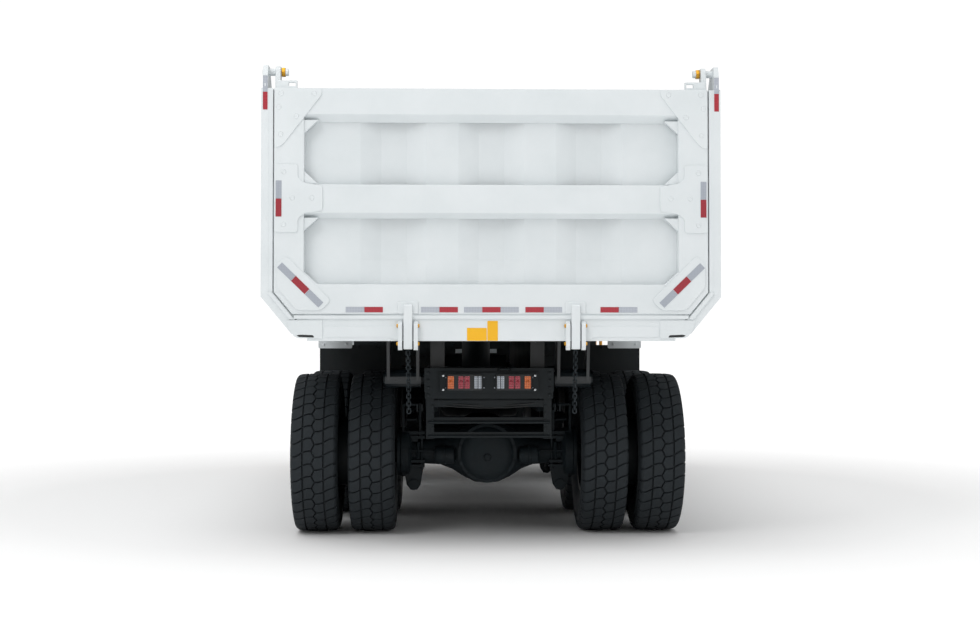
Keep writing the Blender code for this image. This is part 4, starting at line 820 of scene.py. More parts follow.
def gate_tapes():
    """Red and silver strips on the posts, the slanted corners and the lowest rail."""
    shape = Shape()
    on_plate, on_beam = FACE - 0.0096, FACE - 0.0006
    for side in SIDES.values():
        x = span(side, 1.616, 1.661)
        tape(shape, upright(x, (2.724, 2.862)), on_plate, 1)
        tape(shape, upright(x, (2.585, 2.723)), on_plate, 0)
        # the slanted one: silver, red, silver
        start, end = Vector((1.630, 2.214)), Vector((1.312, 1.905))
        along = (end - start) / 3
        across = Vector((-along.y, along.x)).normalized() * 0.027
        for n, paint in ((0, 1), (1, 0), (2, 1)):
            a, b = start + along * (n + 0.01), start + along * (n + 0.99)
            corners = [tuple(a - across), tuple(b - across), tuple(b + across), tuple(a + across)]
            tape(shape, mirrored(corners, side), on_plate, paint)
    z = (1.850, 1.892)
    runs = [
        (-1.123, -0.981, 1), (-0.980, -0.838, 0), (-0.546, -0.405, 1), (-0.404, -0.262, 0),
        (-0.215, -0.075, 1), (-0.074, 0.067, 0), (0.068, 0.208, 1)
    ]
    runs += [(0.258, 0.400, 0), (0.401, 0.5415, 1), (0.838, 0.980, 0), (0.981, 1.123, 1)]
    for start, end, paint in runs:
        tape(shape, upright((start, end), z), on_beam, paint)
    shape.done("tailgate_reflective_tape", "tailgate", [RED_TAPE, GREY_TAPE])


gate_frame()
gate_sheet()
gate_plates()
gate_tapes()


# ---- rear of the bed ----
def bed_rear():
    """The sill's ledge and corner plates, the pins of the locks and ears, and the labels."""
    shape = Shape()
    sill = TAIL_Y
    # the ledge that the gate shuts on, along the sill and up the slanted feet
    shape.block((-1.52, 1.52), (sill - 0.012, sill + 0.01), (1.800, 1.826))
    for side in SIDES.values():
        slope = [(1.522, 1.800), (1.545, 1.826), (1.700, 2.013), (1.722, 1.997), (1.555, 1.795)]
        shape.prism("Y", sill - 0.012, sill + 0.008, mirrored(slope, side))
        step = rounded(
            [
                (0.70, 1.634), (0.735, 1.636), (0.800, 1.660), (1.290, 1.660), (1.290, 1.742),
                (0.86, 1.742), (0.70, 1.742)
            ],
            0.02
        )
        shape.prism("Y", sill - 0.005, sill + 0.006, mirrored(step, side))
        corner = [
            (1.300, 1.648), (1.490, 1.652), (1.520, 1.668), (1.560, 1.722), (1.575, 1.79), (1.300, 1.79)
        ]
        shape.prism("Y", sill - 0.006, sill + 0.10, mirrored(corner, side))
        slot = rounded(
            [(1.362, 1.656), (1.478, 1.660), (1.500, 1.672), (1.475, 1.679), (1.372, 1.675)], 0.008
        )
        shape.prism("Y", sill - 0.0072, sill - 0.004, mirrored(slot, side), 1)
        # pins of the lock, through its cheeks
        for z in (1.746, 1.608):
            for edge in (-1, 1):
                x = side * LOCK_X + edge * 0.077
                shape.bolt((x, sill - 0.024, z), (edge, 0, 0), 0.014, 2)
        # the hinge pin's head outside the ear and its nut beside the arm, then a ring lug
        shape.bolt((side * 1.758, sill + 0.10, PIN_Z), (side, 0, 0), 0.028, 2, height=0.35)
        nut = [(0.0, 1.598), (0.036, 1.598), (0.038, 1.603), (0.038, 1.622), (0.036, 1.628), (0.0, 1.628)]
        shape.turned(nut, (0, sill + 0.10, PIN_Z), "X", 6, 2, side=side)
        ring = [(side * 1.745, sill + 0.02 + 0.020 * cos(t), 3.602 + 0.020 * sin(t)) for t in angles(16)]
        shape.pipe(ring, 0.006, 8, 0, loop=True)
    shape.done("bed_rear_fittings", "bed", [WHITE, ABS, ZINC], bevel=0.0025)
    stickers = Shape()
    face = sill - 0.0006
    tape(stickers, panel((-0.192, -0.040), (1.632, 1.731), 0.006), face, 0)
    tape(stickers, panel((-0.035, 0.046), (1.632, 1.785), 0.006), face, 0)
    for side in SIDES.values():
        x = span(side, 1.726, 1.762)
        tape(stickers, upright(x, (3.548, 3.672)), face, 2)
        tape(stickers, upright(x, (3.410, 3.547)), face, 1)
    stickers.done("bed_rear_stickers", "bed", [LABEL, RED_TAPE, GREY_TAPE])


def chain(name, start, end, links):
    """Round-link chain between two points, every other link turned by a quarter."""
    start, end = Vector(start), Vector(end)
    along = (end - start).normalized()
    pitch = (end - start).length / links
    side = along.cross(Vector((1, 0, 0))).normalized()
    other = along.cross(side)
    shape = Shape()
    for n in range(links):
        middle = start + along * pitch * (n + 0.5)
        across = side if n % 2 else other
        half, width = pitch * 0.5 + 0.007, 0.013
        # two half circles joined by straight sides
        path = []
        for t in angles(20):
            reach = (half - width) * (1 if cos(t) > 0 else -1) if abs(cos(t)) > 0.05 else 0
            path.append(middle + along * (reach + width * cos(t)) + across * width * sin(t))
        shape.pipe(path, 0.0055, 8, 0, loop=True)
    shape.done(name, "bed", GALVANISED)


bed_rear()
for side_name, side in SIDES.items():
    chain(
        f"lock_chain_{side_name}", (side * LOCK_X, TAIL_Y + 0.004, 1.552),
        (side * 0.637, TAIL_Y + 0.010, 1.080), 17
    )


# ---- mudguards ----
def mudguard(name, side):
    """A hanging rubber sheet that is slightly wavy, with its bolts and its light bracket."""
    shape = Shape()
    low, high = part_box(f"mudflap_{name}")
    y = (low.y + high.y) / 2
    rows = []
    for n in range(15):
        z = low.z + (1.60 - low.z) * n / 14
        sway = 0.004 * sin(n * 1.1)
        ring = []
        for x, lift in (
            (0.80, -0.006), (1.22, -0.006), (1.64, -0.006), (1.64, 0.004), (1.22, 0.004), (0.80, 0.004)
        ):
            ring.append((side * x, y + lift + sway * (1 - n / 14) * (1 if x > 1.0 else -1), z))
        rows.append(ring)
    shape.skin(rows)
    strip = rounded([(1.31, 1.565), (1.655, 1.565), (1.655, 1.645), (1.31, 1.645)], 0.018)
    shape.prism("Y", y - 0.012, y - 0.004, mirrored(strip, side), 1)
    for x in (1.37, 1.60):
        shape.bolt((side * x, y - 0.012, 1.605), (0, -1, 0), 0.011, 2)
    for x in (0.86, 1.05, 1.25):
        shape.bolt((side * x, y - 0.006, 1.57), (0, -1, 0), 0.010, 3)
    shape.done(
        f"mudguard_{name}", "chassis", [FLAP, WHITE, WHITE, CHASSIS], bevel=0.0015,
        stands_for=(f"mudflap_{name}",)
    )


for side_name, side in SIDES.items():
    mudguard(side_name, side)


# ---- rear of the chassis ----
def tail_lamps():
    """The lamp board with its corner screws, and the lenses in their two housings."""
    low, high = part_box("lamp_panel")
    face = low.y
    shape = Shape()
    frame_outline = panel((low.x + 0.004, high.x - 0.004), (low.z + 0.004, high.z - 0.004), 0.012)
    shape.prism("Y", face - 0.004, face + 0.002, frame_outline)
    for x in (-0.375, 0.375):
        for z in (low.z + 0.025, high.z - 0.025):
            shape.bolt((x, face - 0.004, z), (0, -1, 0), 0.010, 1)
    shape.done("lamp_board", "chassis", [CHASSIS, CHROME], bevel=0.002)
    lamps = Shape()
    z = (1.243, 1.345)
    for side in SIDES.values():
        shape_x = span(side, 0.055, 0.345)
        lamps.prism("Y", face - 0.030, face, panel(shape_x, (z[0] - 0.014, z[1] + 0.014), 0.016), 3)
        for x, paint in (
            ((0.288, 0.338), 0), ((0.209, 0.253), 1), ((0.158, 0.203), 1), ((0.096, 0.122), 2),
            ((0.064, 0.090), 2)
        ):
            lamps.prism("Y", face - 0.040, face - 0.026, panel(span(side, *x), z, 0.006), paint)
        for x, paint in ((0.313, 0), (0.231, 1), (0.180, 1)):
            lamps.dome((side * x, face - 0.040, 1.295), 0.017, 0.005, "Y", -1, 20, 4, paint)
        for x, z0 in ((0.043, 1.25), (0.355, 1.25), (0.043, 1.335), (0.355, 1.335)):
            lamps.bolt((side * x, face - 0.030, z0), (0, -1, 0), 0.005, 2, washer=False)
    lamps.done("tail_lamps", "chassis", [AMBER_LENS, RED_LENS, CLEAR_LENS, ABS], bevel=0.002)


def chassis_rear():
    """Fittings of the tail plate and of the underrun guard."""
    shape = Shape()
    plate_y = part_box("main_frame")[0].y
    for side in SIDES.values():
        for z in (1.19, 1.25, 1.31, 1.37):
            shape.bolt((side * 0.497, plate_y + 0.001, z), (0, -1, 0), 0.012, 1)
        # hinge brackets beside the frame
        gusset = [(-3.50, 1.27), (-3.44, 1.23), (-3.16, 1.23), (-3.10, 1.27)]
        for x in (0.545, 0.585):
            shape.prism(
                "X", *span(side, x, x + 0.010),
                [(y, z - 0.16) for y, z in gusset] + [(-3.12, 1.05), (-3.48, 1.05)]
            )
    handle = [
        (0.08, plate_y - 0.004, 1.395), (0.08, plate_y - 0.05, 1.402), (0.085, plate_y - 0.058, 1.404),
        (0.165, plate_y - 0.058, 1.404), (0.17, plate_y - 0.05, 1.402), (0.17, plate_y - 0.004, 1.395)
    ]
    shape.pipe(handle, 0.007, 10, 0)
    # air lines along the tail plate's foot
    rng = random.Random(4)
    for n in range(2):
        z = 1.135 - n * 0.018
        path = []
        for k in range(25):
            x = -0.50 + k * 1.0 / 24
            path.append(
                (
                    x, plate_y + 0.05 + 0.012 * sin(k * 0.6 + n),
                    z - 0.035 * sin(pi * k / 24) + rng.uniform(-0.002, 0.002)
                )
            )
        shape.pipe(path, 0.006, 8, 2)
    # the guard's two cross bars and the bolts of its posts
    low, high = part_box("underrun_guard")
    for z in (low.z + 0.02, low.z + 0.135):
        shape.pipe([(-0.50, low.y - 0.004, z), (0.50, low.y - 0.004, z)], 0.013, 14, 0)
    for side in SIDES.values():
        for z in (0.86, 0.92, 0.98, 1.04, 1.10):
            shape.bolt((side * 0.462, low.y + 0.001, z), (0, -1, 0), 0.011, 1)
    shape.done("tail_fittings", "chassis", [CHASSIS, CHASSIS, ABS], bevel=0.002)


def leaf_springs():
    """Bowed leaf packs on the trunnion, with their clamps, U-bolts and axle seats."""
    low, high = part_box("balance_suspension")
    middle = (REAR_AXLE_Y + MIDDLE_AXLE_Y) / 2
    shape = Shape()
    leaves, thick = 9, 0.0152
    for side in SIDES.values():
        for n in range(leaves):
            half = 0.865 - 0.085 * n
            top = 1.018 - n * thick
            rings = []
            for k in range(17):
                y = -half + 2 * half * k / 16
                bow = -0.055 * (y / 0.865) ** 2
                z1 = top + bow
                z0 = z1 - thick + 0.0012
                x0, x1 = span(side, 0.601, 0.689)
                rings.append(
                    [(x0, middle + y, z0), (x1, middle + y, z0), (x1, middle + y, z1), (x0, middle + y, z1)]
                )
            shape.skin(rings)
        for y in (middle - 0.12, middle + 0.12):
            for x in (0.590, 0.700):
                shape.pipe([(side * x, y, 0.83), (side * x, y, 1.045)], 0.012, 12, 1)
                shape.bolt((side * x, y, 0.835), (0, 0, -1), 0.020, 1)
            shape.pipe([(side * 0.590, y, 1.036), (side * 0.700, y, 1.036)], 0.012, 12, 1)
        shape.block(span(side, 0.585, 0.705), (middle - 0.16, middle + 0.16), (0.845, 0.884), 1)
        hub = [
            (0.0, 0.56), (0.105, 0.56), (0.115, 0.575), (0.115, 0.70), (0.095, 0.722), (0.05, 0.728),
            (0.0, 0.728)
        ]
        shape.turned(hub, (0, middle, 0.815), "X", 36, 1, side=side)
        for y in (middle - 0.42, middle + 0.42):
            shape.block(span(side, 0.594, 0.696), (y - 0.022, y + 0.022), (0.90, 1.012), 1)
    shape.turned([(0.0, -0.57), (0.07, -0.57), (0.07, 0.57), (0.0, 0.57)], (0, middle, 0.815), "X", 28, 1)
    for side in SIDES.values():
        # guides round the springs' ends, over the axle seats, and the clamps under them
        for y in (low.y + 0.03, high.y - 0.03):
            shape.block(span(side, 0.565, 0.728), (y - 0.035, y + 0.035), (1.075, 1.094), 1)
            shape.block(span(side, 0.708, 0.728), (y - 0.035, y + 0.035), (0.80, 1.076), 1)
            shape.block(span(side, 0.565, 0.583), (y - 0.035, y + 0.035), (0.80, 1.076), 1)
            for z in (0.845, 0.805, 0.60, 0.56):
                shape.block(span(side, 0.535, 0.735), (y - 0.05, y + 0.07), (z - 0.012, z + 0.012), 1)
            for x in (0.56, 0.71):
                shape.pipe([(side * x, y - 0.03, 0.545), (side * x, y - 0.03, 0.865)], 0.011, 12, 1)
                shape.bolt((side * x, y - 0.03, 0.548), (0, 0, -1), 0.018, 1)
            hanger = [
                (0.545, 0.548), (0.715, 0.548), (0.69, 0.40), (0.655, 0.355), (0.60, 0.355), (0.57, 0.40)
            ]
            shape.prism("Y", y - 0.03, y + 0.03, mirrored(hanger, side), 1)
            bush = [
                (0.0, -0.045), (0.045, -0.045), (0.048, -0.04), (0.048, 0.04), (0.045, 0.045), (0.0, 0.045)
            ]
            shape.turned(bush, (side * 0.63, y, 0.40), "Y", 24, 1)
            # torque rod forward or back to the trunnion
            toward = 1 if y < middle else -1
            shape.pipe(
                [(side * 0.63, y + toward * 0.05, 0.40), (side * 0.63, middle - toward * 0.12, 0.66)],
                0.026, 14, 1
            )
    shape.done(
        "leaf_springs", "chassis", [SPRING, CAST], bevel=0.0015,
        stands_for=("balance_suspension",)
    )


def drive_axle(name, y, sign):
    """Banjo axle: bulged middle, tapering arms, cover with bolts, brake chambers and drums."""
    shape = Shape()
    centre = (0.0, y, AXLE_Z)
    arms = [
        (0.0, -1.165), (0.07, -1.165), (0.07, -0.80), (0.098, -0.795), (0.100, -0.62), (0.112, -0.40),
        (0.150, -0.30), (0.215, -0.20), (0.262, -0.10), (0.272, 0.0)
    ]
    profile = arms + [(r, -a) for r, a in reversed(arms[:-1])]
    shape.turned(profile, centre, "X", 40)
    cover = [
        (0.245, 0.205), (0.252, 0.213), (0.252, 0.225), (0.225, 0.232), (0.205, 0.262), (0.16, 0.284),
        (0.085, 0.2895), (0.0, 0.29)
    ]
    shape.turned([(0.0, 0.0), (0.24, 0.02)] + cover, centre, "Y", 44, side=sign)
    for t in angles(12, 0.5):
        shape.bolt((0.238 * cos(t), y + sign * 0.226, AXLE_Z + 0.238 * sin(t)), (0, sign, 0), 0.011, 1)
    plug = [(0.0, 0.28), (0.034, 0.28), (0.034, 0.287), (0.026, 0.30), (0.0, 0.302)]
    shape.turned(plug, (0.0, y, AXLE_Z - 0.03), "Y", 16, 1, side=sign)
    for side in SIDES.values():
        drum = [
            (0.0, 0.64), (0.10, 0.64), (0.19, 0.66), (0.213, 0.675), (0.213, 0.735), (0.205, 0.745),
            (0.205, 0.77), (0.0, 0.77)
        ]
        shape.turned(drum, centre, "X", 44, side=side)
        chamber = (side * 0.36, y + sign * 0.155, AXLE_Z - 0.02)
        can = [
            (0.0, -0.09), (0.062, -0.088), (0.074, -0.072), (0.076, -0.008), (0.084, -0.006),
            (0.084, 0.006), (0.076, 0.008), (0.074, 0.072), (0.05, 0.088), (0.0, 0.09)
        ]
        shape.turned(can, chamber, "X", 28)
        shape.pipe(
            [
                (side * 0.27, chamber[1] - sign * 0.02, chamber[2] + 0.035),
                (side * 0.77, chamber[1] - sign * 0.02, chamber[2] + 0.035)
            ],
            0.009, 10, 1
        )
        shape.pipe(
            [
                (side * 0.59, chamber[1], chamber[2] - 0.03),
                (side * 0.59, y + sign * 0.10, chamber[2] + 0.10)
            ],
            0.016, 10
        )
        shape.block(span(side, 0.595, 0.695), (y - 0.09, y + 0.09), (AXLE_Z + 0.09, AXLE_Z + 0.185))
    shape.done(
        f"{name}_case", "chassis", [CAST, SPRING], bevel=0.002, stands_for=(name,), sharp=40
    )


tail_lamps()
chassis_rear()
leaf_springs()
drive_axle("rear_axle", REAR_AXLE_Y, -1)
drive_axle("middle_axle", MIDDLE_AXLE_Y, 1)


# ---- between the rails ----
def air_reservoirs():
    """Strapped air reservoirs across the frame, the cross members over them, and the brake lines."""
    shape = Shape()
    z = 0.99
    for y in (-0.35, -0.02, 0.31, 0.64):
        can = [
            (0.0, -0.40), (0.07, -0.395), (0.115, -0.37), (0.125, -0.34), (0.125, 0.34), (0.115, 0.37),
            (0.07, 0.395), (0.0, 0.40)
        ]
        shape.turned(can, (0, y, z), "X", 36)
        for x in (-0.22, 0.22):
            shape.turned(
                [(0.129, x - 0.02), (0.129, x + 0.02), (0.120, x + 0.02), (0.120, x - 0.02)], (0, y, z),
                "X", 36, 1, loop=True
            )
        shape.bolt((0.12, y, z - 0.122), (0, 0, -1), 0.016, 2)
    for y in (-0.56, 0.85, 1.10):
        web = [
            (y - 0.03, 1.10), (y + 0.03, 1.10), (y + 0.03, 1.12), (y - 0.018, 1.12), (y - 0.018, 1.33),
            (y + 0.03, 1.33), (y + 0.03, 1.35), (y - 0.03, 1.35)
        ]
        shape.prism("X", -0.425, 0.425, web)
    for side in SIDES.values():
        for n in range(3):
            line = [
                (side * (0.415 - 0.004 * n), -2.9 + 0.25 * k, 1.24 - 0.02 * n + 0.004 * sin(k * 1.7 + n))
                for k in range(17)
            ]
            shape.pipe(line, 0.007, 8, 2)
    shape.done("air_reservoirs", "chassis", [CHASSIS, SPRING, ABS], bevel=0.002)


def engine_sump():
    """The sump ahead of the axle and behind it, the fan and the radiator's core."""
    sump = Shape()
    low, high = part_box("engine_block")
    bottom = rounded([(-0.30, low.z + 0.01), (-0.24, 0.62), (0.24, 0.62), (0.30, low.z + 0.01)], 0.05)
    sump.prism("Y", FRONT_AXLE_Y + 0.28, high.y - 0.05, bottom)
    sump.prism("Y", low.y + 0.02, FRONT_AXLE_Y - 0.30, bottom)
    fan = [
        (0.0, high.y + 0.05), (0.06, high.y + 0.05), (0.07, high.y), (0.07, high.y - 0.02),
        (0.0, high.y - 0.02)
    ]
    sump.turned(fan, (0, 0, 1.10), "Y", 28, 1)
    for t in angles(9):
        rings = []
        for r, lean in ((0.06, 0.02), (0.20, 0.015), (0.34, 0.008)):
            at = Vector((r * cos(t), high.y + 0.03, 1.10 + r * sin(t)))
            wide = Vector((-sin(t), 0.35, cos(t))).normalized() * (0.035 + r * 0.12)
            thick = Vector((0, 0.003, 0))
            rings.append([at - wide - thick, at + wide - thick, at + wide + thick, at - wide + thick])
        sump.skin(rings, 1)
    core = (high.y + 0.12, high.y + 0.22)
    sump.block((-0.45, 0.45), core, (0.80, 1.47), 1)
    for n in range(30):
        z = 0.82 + n * 0.0215
        sump.block((-0.44, 0.44), (core[0] - 0.006, core[0] + 0.004), (z, z + 0.010), 2)
    sump.done("engine_sump_and_fan", "chassis", [CAST, ABS, SPRING], bevel=0.003)


def guard_sheet_and_shade_strips():
    """A rubber sheet across the deck behind the cab, and dark strips down the deck's rear edge: painted
    shade over the deck's white edge, which lies in the shade under the bed.
    """
    guard = Shape()
    low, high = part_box("front_deck")
    sheet = [(low.y + 0.51, 1.5505), (low.y + 0.53, 1.5505), (low.y + 0.53, 1.735), (low.y + 0.51, 1.745)]
    guard.prism("X", -1.45, 1.45, sheet)
    for side in SIDES.values():
        # these dark strips hide the white top of the deck's rear face: painted shade for the shade under the
        # bed there
        strip_of_painted_shade = [
            (low.y - 0.008, 1.488), (low.y - 0.001, 1.488), (low.y - 0.001, 1.558), (low.y - 0.008, 1.558)
        ]
        guard.prism("X", *span(side, 0.24, 1.60), strip_of_painted_shade)
    for k in range(12):
        guard.bolt((-1.40 + k * 0.225, low.y + 0.51, 1.60), (0, -1, 0), 0.010, 1)
    guard.done("cab_guard_sheet_and_shade_strips", "chassis", [FLAP, SPRING], bevel=0.002)


def shade_sheet_behind_bumper():
    """The ribbed rubber sheet behind the bumper, dark so that the view under the truck from behind reads
    dark: painted shade.
    """
    inner = Shape()
    low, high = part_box("front_bumper")
    # a dark sheet across the far end of the view under the truck, standing in for the shade there
    inner.prism("Y", low.y - 0.03, low.y - 0.002, panel((-1.60, 1.60), (0.62, 1.46), 0.04), 0)
    for n in range(11):
        x = -1.45 + n * 0.29
        inner.prism("Y", low.y - 0.045, low.y - 0.025, panel((x - 0.02, x + 0.02), (0.66, 1.42), 0.01), 0)
    inner.done("front_shade_sheet", "chassis", [FLAP], bevel=0.003)


def tanks():
    """Rounded tanks with two straps and a filler cap, and the battery box with its clips."""
    for name, cap in (("fuel_tank", True), ("hydraulic_tank", True), ("battery_box", False)):
        low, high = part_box(name)
        shape = Shape()
        section = panel((low.x, high.x), (low.z, high.z), 0.13 if cap else 0.03, 8)
        inner = inset(section, 0.03)
        rings = []
        shoulder = inset(section, 0.008)
        for y, points in ((low.y, inner), (low.y + 0.012, shoulder), (low.y + 0.03, section)):
            rings.append(at_depth(points, y))
        for y, points in ((high.y - 0.03, section), (high.y - 0.012, shoulder), (high.y, inner)):
            rings.append(at_depth(points, y))
        shape.skin(rings)
        straps = (0.22, 0.78) if cap else (0.5,)
        for share in straps:
            y = low.y + (high.y - low.y) * share
            outer = [
                (min(max(u, low.x), high.x), min(max(v, low.z), high.z)) for u, v in inset(section, -0.006)
            ]
            shape.skin([at_depth(outer, y - 0.03), at_depth(outer, y + 0.03)], 1)
        if cap:
            x = high.x - 0.20 if high.x > 0 and low.x > 0 else low.x + 0.20
            shape.turned(
                [(0.0, -0.02), (0.055, -0.02), (0.055, 0.018), (0.048, 0.028), (0.0, 0.030)],
                (x, low.y + (high.y - low.y) * 0.5, high.z - 0.005), "Z", 28, 2
            )
        else:
            for share in (0.2, 0.8):
                y = low.y + (high.y - low.y) * share
                shape.block(
                    (low.x + 0.002, low.x + 0.012), (y - 0.03, y + 0.03), (high.z - 0.12, high.z - 0.04), 2
                )
        shape.done(
            f"{name}_with_straps", "chassis", [CHASSIS, SPRING, ZINC], bevel=0.0,
            stands_for=(name,), sharp=40
        )


def hoist_eye(shape, bore, half, y, z):
    """The ring at one end of the cylinder, round its cross pin."""
    ring = [(bore, -half), (0.088, -half), (0.090, -0.08), (0.090, 0.08), (0.088, half), (bore, half)]
    shape.turned(ring, (0, y, z), "X", 40, loop=True)


def hoist_tubes():
    """Smooth tubes for the barrel and its stages, with wiper collars and eyes."""
    low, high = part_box("hoist_barrel")
    middle = (0, (low.y + high.y) / 2, 0)
    foot_z = low.z + 0.09
    shape = Shape()
    radius = high.x
    outer = [
        (0.05, foot_z + 0.19), (radius * 0.93, foot_z + 0.20), (radius, foot_z + 0.215),
        (radius, high.z - 0.10), (radius - 0.004, high.z - 0.098), (radius - 0.004, high.z - 0.085),
        (radius, high.z - 0.083), (radius, high.z - 0.006), (radius - 0.006, high.z),
        (radius - 0.027, high.z), (radius - 0.027, high.z - 0.3), (0.05, high.z - 0.3)
    ]
    shape.turned(outer, middle, "Z", 56)
    shape.prism(
        "Y", middle[1] - 0.058, middle[1] + 0.058,
        [
            (-0.084, foot_z + 0.02), (0.084, foot_z + 0.02), (0.084, foot_z + 0.17), (0.12, foot_z + 0.196),
            (-0.12, foot_z + 0.196), (-0.084, foot_z + 0.17)
        ]
    )
    hoist_eye(shape, 0.041, 0.0845, middle[1], foot_z)
    shape.done(
        "hoist_barrel_tube", "hoist_barrel", CHASSIS, bevel=0.002,
        stands_for=("hoist_barrel",), sharp=40
    )
    for n in (1, 2, 3):
        low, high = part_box(f"hoist_stage_{n}")
        stage = Shape()
        radius = min(high.x, 0.1362 - 0.0288 * (n - 1))
        top = high.z if n < 3 else high.z - 0.09
        tube = [
            (0.02, low.z + 0.002), (radius, low.z + 0.002), (radius, top - 0.004), (radius - 0.004, top)
        ]
        if n < 3:
            tube += [(radius - 0.026, top), (radius - 0.026, top - 0.2), (0.02, top - 0.2)]
        else:
            tube += [(0.02, top)]
        stage.turned(tube, middle, "Z", 56)
        if n == 3:
            hoist_eye(stage, 0.043, 0.084, middle[1], high.z - 0.09)
        stage.done(
            f"hoist_tube_{n}", f"hoist_stage_{n}", CHROME, stands_for=(f"hoist_stage_{n}",),
            sharp=40
        )


air_reservoirs()
engine_sump()
guard_sheet_and_shade_strips()
shade_sheet_behind_bumper()
tanks()
hoist_tubes()


# ---- front end ----
def front_face():
    """The bumper's head lamps, marker lamps, tow eyes, blank plate and slots, and the radiator's grille."""
    shape = Shape()
    low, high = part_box("front_bumper")
    y = high.y
    for side in SIDES.values():
        x = span(side, 1.03, 1.45)
        shape.prism("Y", y - 0.048, y - 0.030, panel(x, (0.93, 1.15), 0.03), 1)
        radius, lamp_z = 0.085, 1.04
        bezel = [
            (radius + 0.008, y - 0.032), (radius + 0.010, y - 0.012), (radius, y - 0.010),
            (radius - 0.004, y - 0.028)
        ]
        for lamp_x in (1.14, 1.335):
            shape.turned(bezel, (side * lamp_x, 0, lamp_z), "Y", 36, 3, loop=True)
            shape.dome((side * lamp_x, y - 0.028, lamp_z), radius - 0.003, 0.020, "Y", 1, 32, 5, 2)
        shape.prism("Y", y - 0.010, y - 0.0005, mirrored(panel((0.60, 0.72), (0.80, 0.94), 0.03), side), 1)
        shape.prism("Y", y - 0.010, y - 0.0004, panel(span(side, 1.50, 1.60), (1.32, 1.44), 0.015), 4)
    shape.prism("Y", y - 0.006, y - 0.0004, panel((-0.26, 0.26), (1.26, 1.40), 0.012), 1)
    for n in range(7):
        z = 0.84 + n * 0.055
        shape.prism("Y", y - 0.012, y - 0.0004, panel((-0.50, 0.50), (z, z + 0.030), 0.010), 1)
    shape.done("bumper_lamps", "chassis", [WHITE, ABS, CLEAR_LENS, CHROME, AMBER_LENS], bevel=0.002)
    grille = Shape()
    low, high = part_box("radiator_housing")
    x = (low.x + 0.08, high.x - 0.08)
    y = high.y
    rim = panel(x, (low.z + 0.08, 2.30), 0.04)
    inner, recess = inset(rim, 0.03), inset(rim, 0.036)
    steps = ((rim, 0.0005), (rim, 0.022), (inner, 0.022), (recess, 0.004))
    grille.skin([at_depth(outline, y + lift) for outline, lift in steps])
    for n in range(11):
        z = low.z + 0.135 + n * 0.054
        slat = [(y + 0.002, z), (y + 0.020, z + 0.010), (y + 0.020, z + 0.022), (y + 0.002, z + 0.034)]
        grille.prism("X", x[0] + 0.035, x[1] - 0.035, slat, 0)
    for side_x in (low.x, high.x):
        for n in range(8):
            z = low.z + 0.22 + n * 0.05
            edge = (side_x - 0.004, side_x + 0.004)
            grille.block(edge, (low.y + 0.25, low.y + 0.85), (z, z + 0.018), 0)
    grille.done("radiator_grille", "chassis", [ABS], bevel=0.003)


